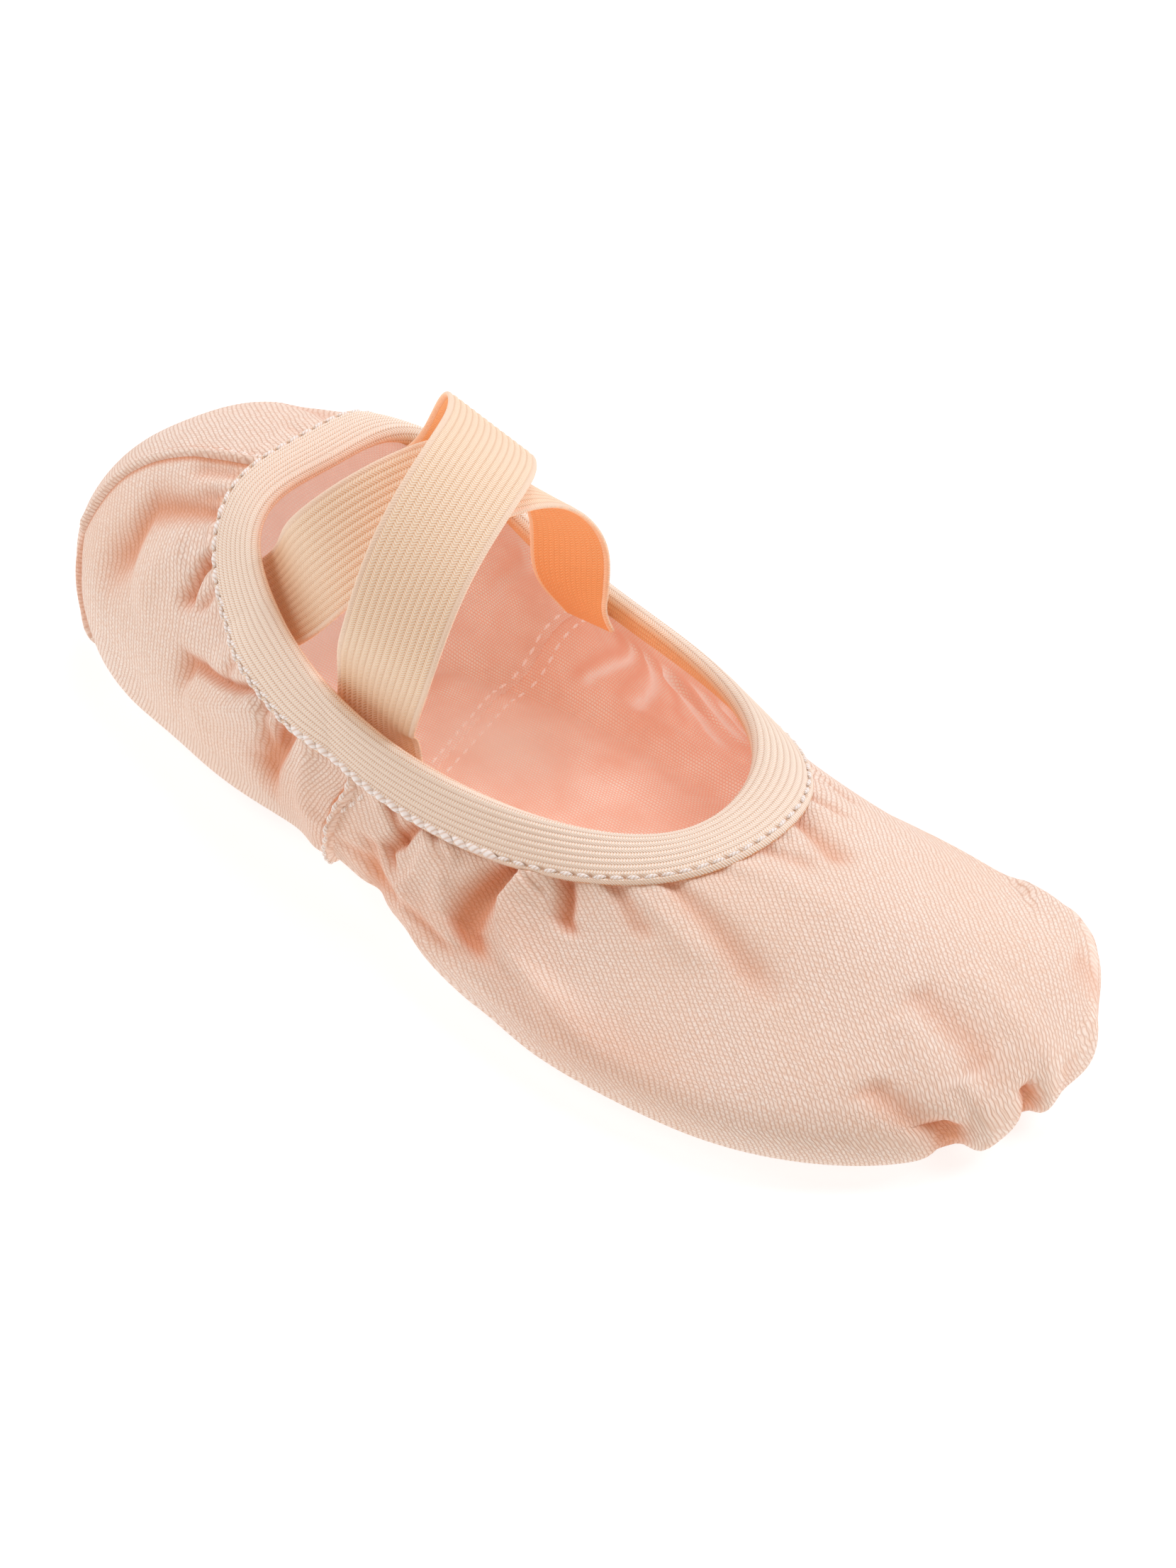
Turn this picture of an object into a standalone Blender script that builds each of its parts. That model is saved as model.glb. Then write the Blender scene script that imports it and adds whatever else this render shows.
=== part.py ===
"""A right-foot ballet slipper in stretch canvas, with a split suede sole and two crossed elastics.

It stands empty on its two sole patches: toe towards -Y, heel towards +Y, the wearer's right at -X.
Every size below is in millimetres; MM turns it into Blender's metres when a mesh is made.
"""

import math

import bmesh
import bpy
import numpy as np

MM = 0.001

# Cloth, suede and elastic as a maker would order them.
CANVAS_WALL = 1.4  # canvas and its cotton lining, sewn as one wall
SUEDE = 1.8
INSOLE = 1.2
BAND = 1.2  # the folded elastic that binds the collar
BAND_WIDTH = 10.5
STRAP = 1.1
STRAP_WIDTH = 19.5
CLEARANCE = 0.3  # between pieces that are sewn together on the real slipper

# How the ribs leave the collar, and how they turn under the foot.
HEEL_FLARE = 105.0  # degrees from straight down
SIDE_FLARE = 27.0
THROAT_FLARE = 92.0
RIM_PULL = 0.57  # length of a rib's first handle, as a share of the rib
WAIST_PULL = 0.10  # length of its last handle, as a share of its drop
UNDER_PULL = 0.55  # handles of the curve under the foot, near a quarter circle's
STEEP_RUN = 4.0  # a rib that runs out by less than this faces the way the widest line does
LEVEL_RUN = 16.0  # one that runs out by more than this faces its own way
TUCK = 7.5  # from the widest line in to where the canvas meets the floor
MARGIN = 6.0  # canvas turned in over the soles
SOLE_INSET = 3.0
INSOLE_INSET = 1.5

# The slipper's box is centred on the origin by this move.
CENTRE_X = 2.7
CENTRE_Y = -8.7

# One row per rib, evenly spaced round the shoe from the heel's back by the outer side to the toe.
RIBS = (
    # place            widest line x, y, z     collar's rim x, y, z    lift of the arch
    ("heel back",       -5.0, 127.0, 21.0,       4.0,  71.5, 56.0,    0.0),
    ("heel corner",    -19.0, 117.5, 20.0,     -10.0,  70.0, 55.5,    0.0),
    ("counter",        -28.5,  95.5, 18.5,     -21.0,  63.0, 52.0,    0.0),
    ("heel breast",    -35.0,  60.0, 16.5,     -28.5,  50.5, 46.0,    1.8),
    ("arch",           -40.5,  18.5, 14.5,     -33.0,  32.5, 40.0,    5.0),
    ("ball",           -49.0, -24.5, 13.0,     -32.5,  10.5, 36.0,    0.5),
    ("small toe",      -46.0, -67.5, 12.5,     -27.0, -11.5, 34.0,    0.0),
    ("toe corner",     -29.5, -97.5, 12.0,     -16.0, -28.5, 32.5,    0.0),
    ("toe tip",          2.0, -109.5, 12.0,     -1.5, -34.5, 32.5,    0.0),
    ("big toe corner",  29.0, -99.0, 12.5,      15.0, -28.5, 33.0,    0.0),
    ("big toe",         44.0, -68.5, 12.5,      26.0, -12.5, 34.0,    0.0),
    ("inner ball",      38.5, -27.0, 13.0,      29.0,  10.0, 36.0,    0.5),
    ("inner arch",      34.0,  18.0, 14.0,      28.5,  32.5, 40.0,    5.0),
    ("inner breast",    29.5,  60.5, 16.5,      28.5,  51.5, 46.0,    1.8),
    ("inner counter",   22.5,  96.0, 18.5,      25.5,  64.0, 52.5,    0.0),
    ("inner corner",    11.5, 119.5, 20.0,      17.5,  70.5, 56.0,    0.0),
)

# A lapped seam runs down its rib, leaning as it goes. Turns run from 0 at the heel to 0.5 at the toe.
SEAMS = (
    # name         turn at the rim, turn at the floor, side that laps over the other
    ("heel seam",   0.035, 0.062, -1),
    ("outer seam",  0.262, 0.237, -1),
    ("inner seam",  0.738, 0.763, +1),
)
SEAM_STEP = 0.6
SEAM_EDGE = 0.0016  # turn between the top and the foot of the lapped edge
SEAM_REACH = 0.06  # turn over which the neighbouring ribs follow a seam's lean
SEAM_ROOM = 0.4  # an even rib this near a seam, as a share of their spacing, gives way to it

# Where the canvas closes across the arch, between the two sole patches.
ARCH_BACK = 0.195
ARCH_FRONT = 0.300

# Each sole patch follows the floor line between two turns, and an arc closes it at the waist.
SOLES = (
    # name        first turn, last turn, points, bulge of the arc towards the heel
    ("front_sole", 0.285, 0.715, 45, 8.0),
    ("heel_sole",  0.800, 1.200, 33, -8.0),
)
WAIST_STEPS = 8

# How finely the forms are drawn.
RIB_COUNT = 80
SIDE_POINTS = 41  # along the curve from the rim to the widest line
UNDER_POINTS = 17  # along the curve from there to the floor
BAND_ROWS = np.linspace(0.0, BAND_WIDTH, 4)
SIDE_ROWS = 5  # between the band's edge and the widest line
UNDER_ROWS = 4
MARGIN_ROWS = 2
FOLD_ANGLES = (45, 90, 135)  # round the band's fold, from outside to inside
BRIDGE_STEPS = 6
INSOLE_STATIONS = 32
INSOLE_STEPS = 6
SMALL_TURN = 0.002  # for directions along the collar
SHARP_ANGLE = 50
WELD = 0.01

# Elastics. Each end is tucked inside the collar between two turns; the rows are the free middle line
# and the direction across the width, towards the heel.
STRAPS = (
    # name, turns of the near end (heel edge, toe edge), turns of the far end (heel edge, toe edge)
    ("strap_over", (0.243, 0.310), (0.895, 0.815), (
        # x,     y,    z,    across x, y, z
        (-31.6, 18.6, 56.5,  -0.20, 0.96, 0.17),
        (-24.2, 17.4, 74.0,  -0.33, 0.91, 0.23),
        ( -8.4, 21.6, 82.5,  -0.41, 0.82, 0.40),
        (  7.8, 32.2, 78.8,  -0.36, 0.78, 0.50),
        ( 19.8, 46.8, 66.4,  -0.34, 0.78, 0.52),
    )),
    ("strap_under", (0.115, 0.205), (0.800, 0.735), (
        (-23.4, 44.2, 59.6,   0.07, 0.80, 0.60),
        (-15.2, 34.8, 70.6,   0.10, 0.80, 0.60),
        (  0.6, 31.0, 72.3,   0.12, 0.90, 0.43),
        ( 15.4, 31.5, 64.0,  -0.06, 0.99, 0.10),
        ( 23.8, 33.0, 50.0,  -0.06, 0.99, 0.06),
    )),
)
TUCK_DEPTHS = (8.0, 0.5)  # below the rim
TUCK_EASE = 0.9  # more clearance, because the collar curves and an elastic's end is flat
STRAP_STATIONS = 30

FINISHES = {
    # colour (linear red, green, blue), roughness
    "canvas": ((0.90, 0.66, 0.52), 0.85),
    "elastic": ((0.92, 0.66, 0.42), 0.80),
    "suede": ((0.70, 0.52, 0.42), 0.95),
    "lining": ((0.88, 0.56, 0.46), 0.90),
}


# ---------------------------------------------------------------- curves


def closed_curve(rows, turns):
    """Points on the smooth closed curve through evenly spaced rows, at the given turns."""
    rows = np.asarray(rows, float)
    count = len(rows)
    before, after = np.roll(rows, 1, axis=0), np.roll(rows, -1, axis=0)
    system = 4 * np.eye(count) + np.roll(np.eye(count), 1, axis=0) + np.roll(np.eye(count), -1, axis=0)
    slopes = np.linalg.solve(system, 3 * (after - before))
    place = (np.asarray(turns, float) % 1.0) * count
    first = np.floor(place).astype(int) % count
    second = (first + 1) % count
    share = (place - np.floor(place))[..., None]
    return hermite(rows[first], rows[second], slopes[first], slopes[second], share)


def open_curve(rows, count):
    """count points, evenly spaced along the smooth curve through the rows, by their x, y and z."""
    rows = np.asarray(rows, float)
    steps = np.linalg.norm(np.diff(rows[:, :3], axis=0), axis=1)
    knots = np.concatenate([[0.0], np.cumsum(steps)])
    size = len(rows)
    system = np.zeros((size, size))
    wanted = np.zeros_like(rows)
    system[0, :2] = 2, 1
    system[-1, -2:] = 1, 2
    wanted[0] = 3 * (rows[1] - rows[0]) / steps[0]
    wanted[-1] = 3 * (rows[-1] - rows[-2]) / steps[-1]
    for i in range(1, size - 1):
        left, right = 1 / steps[i - 1], 1 / steps[i]
        system[i, i - 1 : i + 2] = left, 2 * (left + right), right
        wanted[i] = 3 * ((rows[i] - rows[i - 1]) * left**2 + (rows[i + 1] - rows[i]) * right**2)
    slopes = np.linalg.solve(system, wanted)
    at = np.linspace(0.0, knots[-1], count)
    first = np.clip(np.searchsorted(knots, at, side="right") - 1, 0, size - 2)
    span = steps[first][:, None]
    share = (at - knots[first])[:, None] / span
    return hermite(rows[first], rows[first + 1], slopes[first] * span, slopes[first + 1] * span, share)


def hermite(start, end, leaving, arriving, share):
    """The cubic from start to end with the given slopes."""
    squared, cubed = share**2, share**3
    return (
        (2 * cubed - 3 * squared + 1) * start
        + (cubed - 2 * squared + share) * leaving
        + (3 * squared - 2 * cubed) * end
        + (cubed - squared) * arriving
    )


def bezier(start, handle_out, handle_in, end, shares):
    """Rows of points along one cubic per rib: the result is rib by share by x, y, z."""
    share = np.asarray(shares)[None, :, None]
    rest = 1 - share
    return (
        rest**3 * start[:, None]
        + 3 * rest**2 * share * handle_out[:, None]
        + 3 * rest * share**2 * handle_in[:, None]
        + share**3 * end[:, None]
    )


def unit(vectors):
    """The same directions with length 1."""
    return vectors / np.linalg.norm(vectors, axis=-1, keepdims=True)


def along(points, distances):
    """Points at the given distances down each rib's polyline."""
    reach = np.linalg.norm(np.diff(points, axis=1), axis=2)
    reach = np.concatenate([np.zeros((len(points), 1)), np.cumsum(reach, axis=1)], axis=1)
    found = np.empty((len(points), distances.shape[1], 3))
    for rib in range(len(points)):
        for axis in range(3):
            found[rib, :, axis] = np.interp(distances[rib], reach[rib], points[rib, :, axis])
    return found, reach[:, -1]


# ---------------------------------------------------------------- the last


def rib_turns():
    """The turn of each rib: even steps, with a pair of ribs for each seam's lapped edge."""
    seam_turns = []
    for _, at_rim, at_floor, side in SEAMS:
        middle = (at_rim + at_floor) / 2
        seam_turns += [middle, middle - side * SEAM_EDGE]
    even = [i / RIB_COUNT for i in range(RIB_COUNT)]
    clear = SEAM_ROOM / RIB_COUNT
    kept = [turn for turn in even if all(abs(turn - seam) > clear for seam in seam_turns)]
    return np.array(sorted(kept + seam_turns))


def leaning(turns, depth):
    """The ribs' turns at a depth of 0 at the rim to 1 at the floor, where ribs follow the seams."""
    moved = turns.copy()
    for _, at_rim, at_floor, _ in SEAMS:
        away = np.abs((turns - (at_rim + at_floor) / 2 + 0.5) % 1.0 - 0.5)
        follows = np.cos(np.clip(away / SEAM_REACH, 0, 1) * math.pi / 2) ** 2
        moved = moved + (at_floor - at_rim) * (depth - 0.5) * follows
    return moved


def last_lines(turns):
    """The rim, the widest line, the floor line and the outward directions at each turn."""
    table = np.array([row[1:] for row in RIBS])
    table[:, [0, 3]] += CENTRE_X
    table[:, [1, 4]] += CENTRE_Y
    rows = closed_curve(table, turns)
    widest, rim, lift = rows[:, 0:3], rows[:, 3:6], np.maximum(rows[:, 6], 0.0)
    ahead, behind = closed_curve(table, turns + SMALL_TURN), closed_curve(table, turns - SMALL_TURN)
    tangent = ahead[:, :2] - behind[:, :2]
    outward = unit(np.stack([-tangent[:, 1], tangent[:, 0], np.zeros(len(turns))], axis=1))
    middle = table[:, :2].mean(axis=0)
    outward *= np.sign(((widest[:, :2] - middle) * outward[:, :2]).sum(axis=1))[:, None]
    floor = widest - outward * TUCK
    floor[:, 2] = SUEDE + CLEARANCE + lift
    return rim, widest, floor, outward


def flares(turns):
    """The angle at which each rib leaves the rim, in radians from straight down."""
    facing = np.cos(2 * math.pi * turns)
    heel = np.clip(facing, 0, 1) ** 2
    throat = np.clip(-facing, 0, 1) ** 3
    return np.radians(SIDE_FLARE + (HEEL_FLARE - SIDE_FLARE) * heel + (THROAT_FLARE - SIDE_FLARE) * throat)


def skin(turns):
    """The canvas's outer face: a curve down each rib, one from it in under the foot, and where it ends."""
    rim, widest, floor, outward = last_lines(turns)
    down = np.array([0.0, 0.0, -1.0])
    run = widest - rim
    length = np.linalg.norm(run, axis=1)[:, None]
    drop = rim[:, 2:] - widest[:, 2:]
    level_run = run + down * -drop
    level = np.linalg.norm(level_run, axis=1)[:, None]
    own_way = np.clip((level - STEEP_RUN) / (LEVEL_RUN - STEEP_RUN), 0, 1)
    ahead = unit(own_way * level_run / np.maximum(level, WELD) + (1 - own_way) * outward)
    angle = flares(turns)[:, None]
    leaving = ahead * np.sin(angle) + down * np.cos(angle)
    above = widest - down * WAIST_PULL * drop
    side = bezier(rim, rim + leaving * RIM_PULL * length, above, widest, np.linspace(0, 1, SIDE_POINTS))
    below = widest + down * UNDER_PULL * (widest[:, 2:] - floor[:, 2:])
    before_floor = floor + outward * UNDER_PULL * TUCK
    under = bezier(widest, below, before_floor, floor, np.linspace(0, 1, UNDER_POINTS))
    turned_in = floor - outward * MARGIN
    return side, under, turned_in


def canvas_grid(turns):
    """The outer face as a grid, rib by row: the first rows lie under the collar's band."""
    rows = len(BAND_ROWS) + SIDE_ROWS + UNDER_ROWS + MARGIN_ROWS
    grid = np.empty((len(turns), rows, 3))
    for row in range(rows):
        depth = row / (rows - MARGIN_ROWS - 1)
        side, under, turned_in = skin(leaning(turns, min(depth, 1.0)))
        _, whole = along(side, np.zeros((len(turns), 1)))
        if row < len(BAND_ROWS):
            distance = np.full((len(turns), 1), BAND_ROWS[row])
            grid[:, row] = along(side, distance)[0][:, 0]
        elif row < len(BAND_ROWS) + SIDE_ROWS:
            share = (row - len(BAND_ROWS) + 1) / SIDE_ROWS
            distance = BAND_WIDTH + (whole[:, None] - BAND_WIDTH) * share
            grid[:, row] = along(side, distance)[0][:, 0]
        elif row < rows - MARGIN_ROWS:
            share = (row - len(BAND_ROWS) - SIDE_ROWS + 1) / UNDER_ROWS
            grid[:, row] = under[:, round(share * (under.shape[1] - 1))]
        else:
            share = (row - (rows - MARGIN_ROWS) + 1) / MARGIN_ROWS
            grid[:, row] = under[:, -1] * (1 - share) + turned_in * share
    return grid


def canvas_normals(turns, grid):
    """Outward directions at the grid's points, from a small step to either side of each rib."""
    step = SMALL_TURN / 2
    round_it = canvas_grid(turns + step) - canvas_grid(turns - step)
    down_it = np.gradient(grid, axis=1)
    return unit(np.cross(down_it, round_it))


# ---------------------------------------------------------------- making meshes


def new_object(name, points, faces, finish):
    """A mesh object from points in millimetres, with its own material."""
    mesh = bpy.data.meshes.new(name)
    mesh.from_pydata([tuple(point) for point in np.asarray(points) * MM], [], faces)
    mesh.validate()
    body = bmesh.new()
    body.from_mesh(mesh)
    bmesh.ops.remove_doubles(body, verts=body.verts, dist=WELD * MM)
    bmesh.ops.recalc_face_normals(body, faces=body.faces)
    body.to_mesh(mesh)
    body.free()
    mesh.shade_smooth()
    mesh.set_sharp_from_angle(angle=math.radians(SHARP_ANGLE))
    colour, roughness = FINISHES[finish]
    material = bpy.data.materials.new(name)
    material.use_nodes = True
    shader = material.node_tree.nodes["Principled BSDF"]
    shader.inputs["Base Color"].default_value = (*colour, 1.0)
    shader.inputs["Roughness"].default_value = roughness
    shader.inputs["Metallic"].default_value = 0.0
    mesh.materials.append(material)
    made = bpy.data.objects.new(name, mesh)
    bpy.context.scene.collection.objects.link(made)
    return made


def new_shell(name, outer, inner, faces, finish):
    """A closed wall between two sheets that share their faces, with its open edges joined."""
    count = len(outer)
    used = {}
    for face in faces:
        for start, end in zip(face, face[1:] + face[:1]):
            used[(start, end)] = used.get((end, start), 0) + 1
            used[(end, start)] = used[(start, end)]
    edges = [
        (start, end)
        for face in faces
        for start, end in zip(face, face[1:] + face[:1])
        if used[(start, end)] == 1
    ]
    whole = list(faces)
    whole += [tuple(corner + count for corner in reversed(face)) for face in faces]
    whole += [(end, start, start + count, end + count) for start, end in edges]
    return new_object(name, np.concatenate([outer, inner]), whole, finish)


def strip_faces(rings, width, closed):
    """Quads between neighbouring rings of points; closed joins the last ring to the first."""
    faces = []
    for ring in range(rings if closed else rings - 1):
        after = (ring + 1) % rings
        for step in range(width):
            onward = (step + 1) % width
            near, far = ring * width, after * width
            faces.append((near + step, near + onward, far + onward, far + step))
    return faces


# ---------------------------------------------------------------- the pieces


def make_upper(turns, grid, normals):
    """Canvas from the rim in under the foot, joined across the arch, with its wall inwards."""
    ribs, rows = grid.shape[:2]
    last = rows - 1
    inner = grid - normals * CANVAS_WALL
    outer = grid.copy()
    top_rows, floor_rows = len(BAND_ROWS), MARGIN_ROWS + 1
    for _, at_rim, at_floor, _ in SEAMS:
        lapped = int(np.argmin(np.abs(turns - (at_rim + at_floor) / 2)))
        outer[lapped, top_rows:-floor_rows] += normals[lapped, top_rows:-floor_rows] * SEAM_STEP
    outer_points = list(outer.reshape(-1, 3))
    inner_points = list(inner.reshape(-1, 3))
    faces = []
    for rib in range(ribs):
        after = (rib + 1) % ribs
        for row in range(last):
            faces.append((rib * rows + row, rib * rows + row + 1, after * rows + row + 1, after * rows + row))
    bridge = []
    for rib in np.flatnonzero((turns >= ARCH_BACK) & (turns <= ARCH_FRONT)):
        across = int(np.argmin(np.abs(turns - (1 - turns[rib]))))
        line = [rib * rows + last]
        for step in range(1, BRIDGE_STEPS):
            share = step / BRIDGE_STEPS
            line.append(len(outer_points))
            outer_points.append(outer[rib, last] * (1 - share) + outer[across, last] * share)
            inner_points.append(inner[rib, last] * (1 - share) + inner[across, last] * share)
        line.append(across * rows + last)
        bridge.append([int(corner) for corner in line])
    for line, following in zip(bridge, bridge[1:]):
        for step in range(BRIDGE_STEPS):
            faces.append((line[step], line[step + 1], following[step + 1], following[step]))
    return new_shell("upper", outer_points, inner_points, faces, "canvas")


def over_the_rim(outer, normal, distance):
    """Lines up the outside of the canvas, over its rim and down the inside, all at one distance from it."""
    rows = range(len(BAND_ROWS))
    up = unit(outer[:, 0] - outer[:, 1])
    fold_centre = outer[:, 0] - normal[:, 0] * CANVAS_WALL / 2
    radius = CANVAS_WALL / 2 + distance
    lines = [outer[:, row] + normal[:, row] * distance for row in reversed(rows)]
    for angle in np.radians(FOLD_ANGLES):
        lines.append(fold_centre + radius * (normal[:, 0] * math.cos(angle) + up * math.sin(angle)))
    lines += [outer[:, row] - normal[:, row] * (CANVAS_WALL + distance) for row in rows]
    return lines


def make_band(grid, normals):
    """Wide elastic folded over the collar's rim, as one closed loop with a U-shaped section."""
    outer, normal = grid[:, : len(BAND_ROWS)], normals[:, : len(BAND_ROWS)]
    face = over_the_rim(outer, normal, CLEARANCE + BAND)
    back = over_the_rim(outer, normal, CLEARANCE)
    section = np.stack(face + back[::-1], axis=1)
    ribs, width = section.shape[:2]
    faces = strip_faces(ribs, width, closed=True)
    return new_object("collar_binding", section.reshape(-1, 3), faces, "elastic")


def inside_collar(turn, depth):
    """The point where a strap's edge lies against the folded band, depth below the rim."""
    side, _, _ = skin(np.array([turn - SMALL_TURN, turn, turn + SMALL_TURN]))
    spots, _ = along(side, np.array([[depth, depth + 1.0]] * 3))
    outward = unit(np.cross(spots[1, 1] - spots[1, 0], spots[2, 0] - spots[0, 0]))
    inset = CANVAS_WALL + CLEARANCE + BAND + CLEARANCE + TUCK_EASE + STRAP / 2
    return spots[1, 0] - outward * inset


def tucked_row(heel_edge, toe_edge, depth):
    """A strap's middle point and direction across, where it lies inside the collar."""
    back, front = inside_collar(heel_edge, depth), inside_collar(toe_edge, depth)
    return [*((back + front) / 2), *unit(back - front)]


def make_strap(name, near_turns, far_turns, free_rows):
    """A flat elastic along its middle line, with both ends tucked inside the collar."""
    free = np.array(free_rows)
    free[:, 0] += CENTRE_X
    free[:, 1] += CENTRE_Y
    rows = [tucked_row(*near_turns, depth) for depth in TUCK_DEPTHS]
    rows += [list(row) for row in free]
    rows += [tucked_row(*far_turns, depth) for depth in reversed(TUCK_DEPTHS)]
    stations = open_curve(rows, STRAP_STATIONS)
    middle, across = stations[:, :3], unit(stations[:, 3:])
    running = unit(np.gradient(middle, axis=0))
    across = unit(across - running * (across * running).sum(axis=1, keepdims=True))
    facing = np.cross(running, across)
    half, thick = STRAP_WIDTH / 2, STRAP / 2
    corners = [
        middle + across * half * side + facing * thick * face
        for side, face in ((-1, -1), (1, -1), (1, 1), (-1, 1))
    ]
    section = np.stack(corners, axis=1)
    faces = strip_faces(STRAP_STATIONS, 4, closed=False)
    last = (STRAP_STATIONS - 1) * 4
    faces += [(3, 2, 1, 0), (last, last + 1, last + 2, last + 3)]
    return new_object(name, section.reshape(-1, 3), faces, "elastic")


def patch_outline(first_turn, last_turn, count, bulge):
    """The floor line between two turns, moved in, and closed by an arc that bulges to the waist."""
    _, _, floor, outward = last_lines(np.linspace(first_turn, last_turn, count) % 1.0)
    edge = (floor - outward * SOLE_INSET)[:, :2]
    share = np.arange(1, WAIST_STEPS)[:, None] / WAIST_STEPS
    closing = edge[-1] * (1 - share) + edge[0] * share
    closing += np.array([0.0, bulge]) * np.sin(math.pi * share)
    return np.concatenate([edge, closing])


def make_sole(name, first_turn, last_turn, count, bulge):
    """A flat suede patch: its outline on the floor as one face, and the same face raised."""
    outline = patch_outline(first_turn, last_turn, count, bulge)
    below = np.column_stack([outline, np.zeros(len(outline))])
    above = below + np.array([0.0, 0.0, SUEDE])
    return new_shell(name, below, above, [tuple(range(len(outline)))], "suede")


def make_insole():
    """One sock lining, laid from side to side over the turned-in canvas and up over the arch."""
    turns = np.linspace(0.5 / INSOLE_STATIONS, 0.5 - 0.5 / INSOLE_STATIONS, INSOLE_STATIONS)
    edges = []
    for side_turns in (turns, 1 - turns):
        _, _, floor, outward = last_lines(side_turns)
        edge = floor - outward * INSOLE_INSET
        edge[:, 2] = floor[:, 2] + CANVAS_WALL + CLEARANCE
        edges.append(edge)
    shares = np.linspace(0, 1, INSOLE_STEPS + 1)[None, :, None]
    under = (edges[0][:, None] * (1 - shares) + edges[1][:, None] * shares).reshape(-1, 3)
    over = under + np.array([0.0, 0.0, INSOLE])
    wide = INSOLE_STEPS + 1
    faces = []
    for station in range(INSOLE_STATIONS - 1):
        for step in range(INSOLE_STEPS):
            corner = station * wide + step
            faces.append((corner, corner + 1, corner + wide + 1, corner + wide))
    return new_shell("insole", under, over, faces, "lining")


def main():
    for thing in list(bpy.data.objects):
        bpy.data.objects.remove(thing, do_unlink=True)
    turns = rib_turns()
    grid = canvas_grid(turns)
    normals = canvas_normals(turns, grid)
    make_upper(turns, grid, normals)
    make_band(grid, normals)
    for strap in STRAPS:
        make_strap(*strap)
    for sole in SOLES:
        make_sole(*sole)
    make_insole()


main()
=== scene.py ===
# %% [markdown]
# # A canvas ballet slipper
#
# This notebook dresses the plain solids of a right-foot ballet slipper: stretch canvas sewn in three
# panels, a folded elastic round the collar, two crossed elastics over the instep, a cotton lining and a
# split suede sole. The solids are loaded first and stay where they are. Each soft piece is then made
# again with its creases, ribs, stitches and weave, in the same place and at the same size.

# %% Load the solids
import math

import bpy
import numpy as np
from mathutils import Matrix


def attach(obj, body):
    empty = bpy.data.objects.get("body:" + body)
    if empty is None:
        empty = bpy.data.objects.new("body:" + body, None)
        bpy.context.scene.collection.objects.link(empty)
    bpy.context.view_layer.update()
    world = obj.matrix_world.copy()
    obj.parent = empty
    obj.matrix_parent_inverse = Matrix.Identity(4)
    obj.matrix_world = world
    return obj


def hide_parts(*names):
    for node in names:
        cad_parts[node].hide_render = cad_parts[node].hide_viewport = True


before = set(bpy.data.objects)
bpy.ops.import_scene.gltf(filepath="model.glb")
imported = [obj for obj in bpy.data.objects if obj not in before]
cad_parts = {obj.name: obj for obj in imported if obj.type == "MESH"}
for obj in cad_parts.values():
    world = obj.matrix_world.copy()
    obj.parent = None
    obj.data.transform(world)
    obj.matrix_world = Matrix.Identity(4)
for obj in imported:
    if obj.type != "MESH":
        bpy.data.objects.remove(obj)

MM = 0.001  # every size below is in millimetres
TURN = 2 * math.pi


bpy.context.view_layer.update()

# %% [markdown]
# ## The last
#
# A slipper is sewn and then pulled over a last, a wooden foot. Here the last is a set of ribs: each one
# leaves the collar's rim, runs out to the widest line, turns under the foot and ends a little way in. A
# rib is named by its turn, from 0 at the heel's back by the outer side to 0.5 at the toe and on to 1.
# The solids were drawn from these same ribs, so a point found on a rib lies on the solid's face.

# %% Sizes of the slipper
CANVAS_WALL = 1.4  # canvas and lining together
SUEDE = 1.8
INSOLE = 1.2
BAND = 1.2  # the elastic folded round the collar
BAND_WIDTH = 10.5
STRAP = 1.1
STRAP_WIDTH = 19.5
CLEARANCE = 0.3  # between one layer and the next
HEEL_FLARE = 105.0  # degrees from straight down at which the ribs leave the rim at the heel,
SIDE_FLARE = 27.0  # at the sides
THROAT_FLARE = 92.0  # and at the throat
RIM_PULL = 0.57  # length of a rib's handle at the rim, as a share of the way to the widest line
WAIST_PULL = 0.10  # above the widest line, as a share of the drop to it
UNDER_PULL = 0.55  # and below it, as a share of the way to the floor line
STEEP_RUN = 4.0  # a rib that runs out less than this leaves the rim squarely
LEVEL_RUN = 16.0  # and one that runs out more than this goes straight for its widest point
TUCK = 7.5  # from the widest line in to the floor line
MARGIN = 6.0  # canvas turned in under the foot past the floor line
SOLE_INSET = 3.0  # from the floor line in to a sole's edge
CENTRE_X = 2.7  # added to the table's x and y, so that the slipper stands centred
CENTRE_Y = -8.7
SMALL_TURN = 0.002
SIDE_POINTS = 41
UNDER_POINTS = 17

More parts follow.
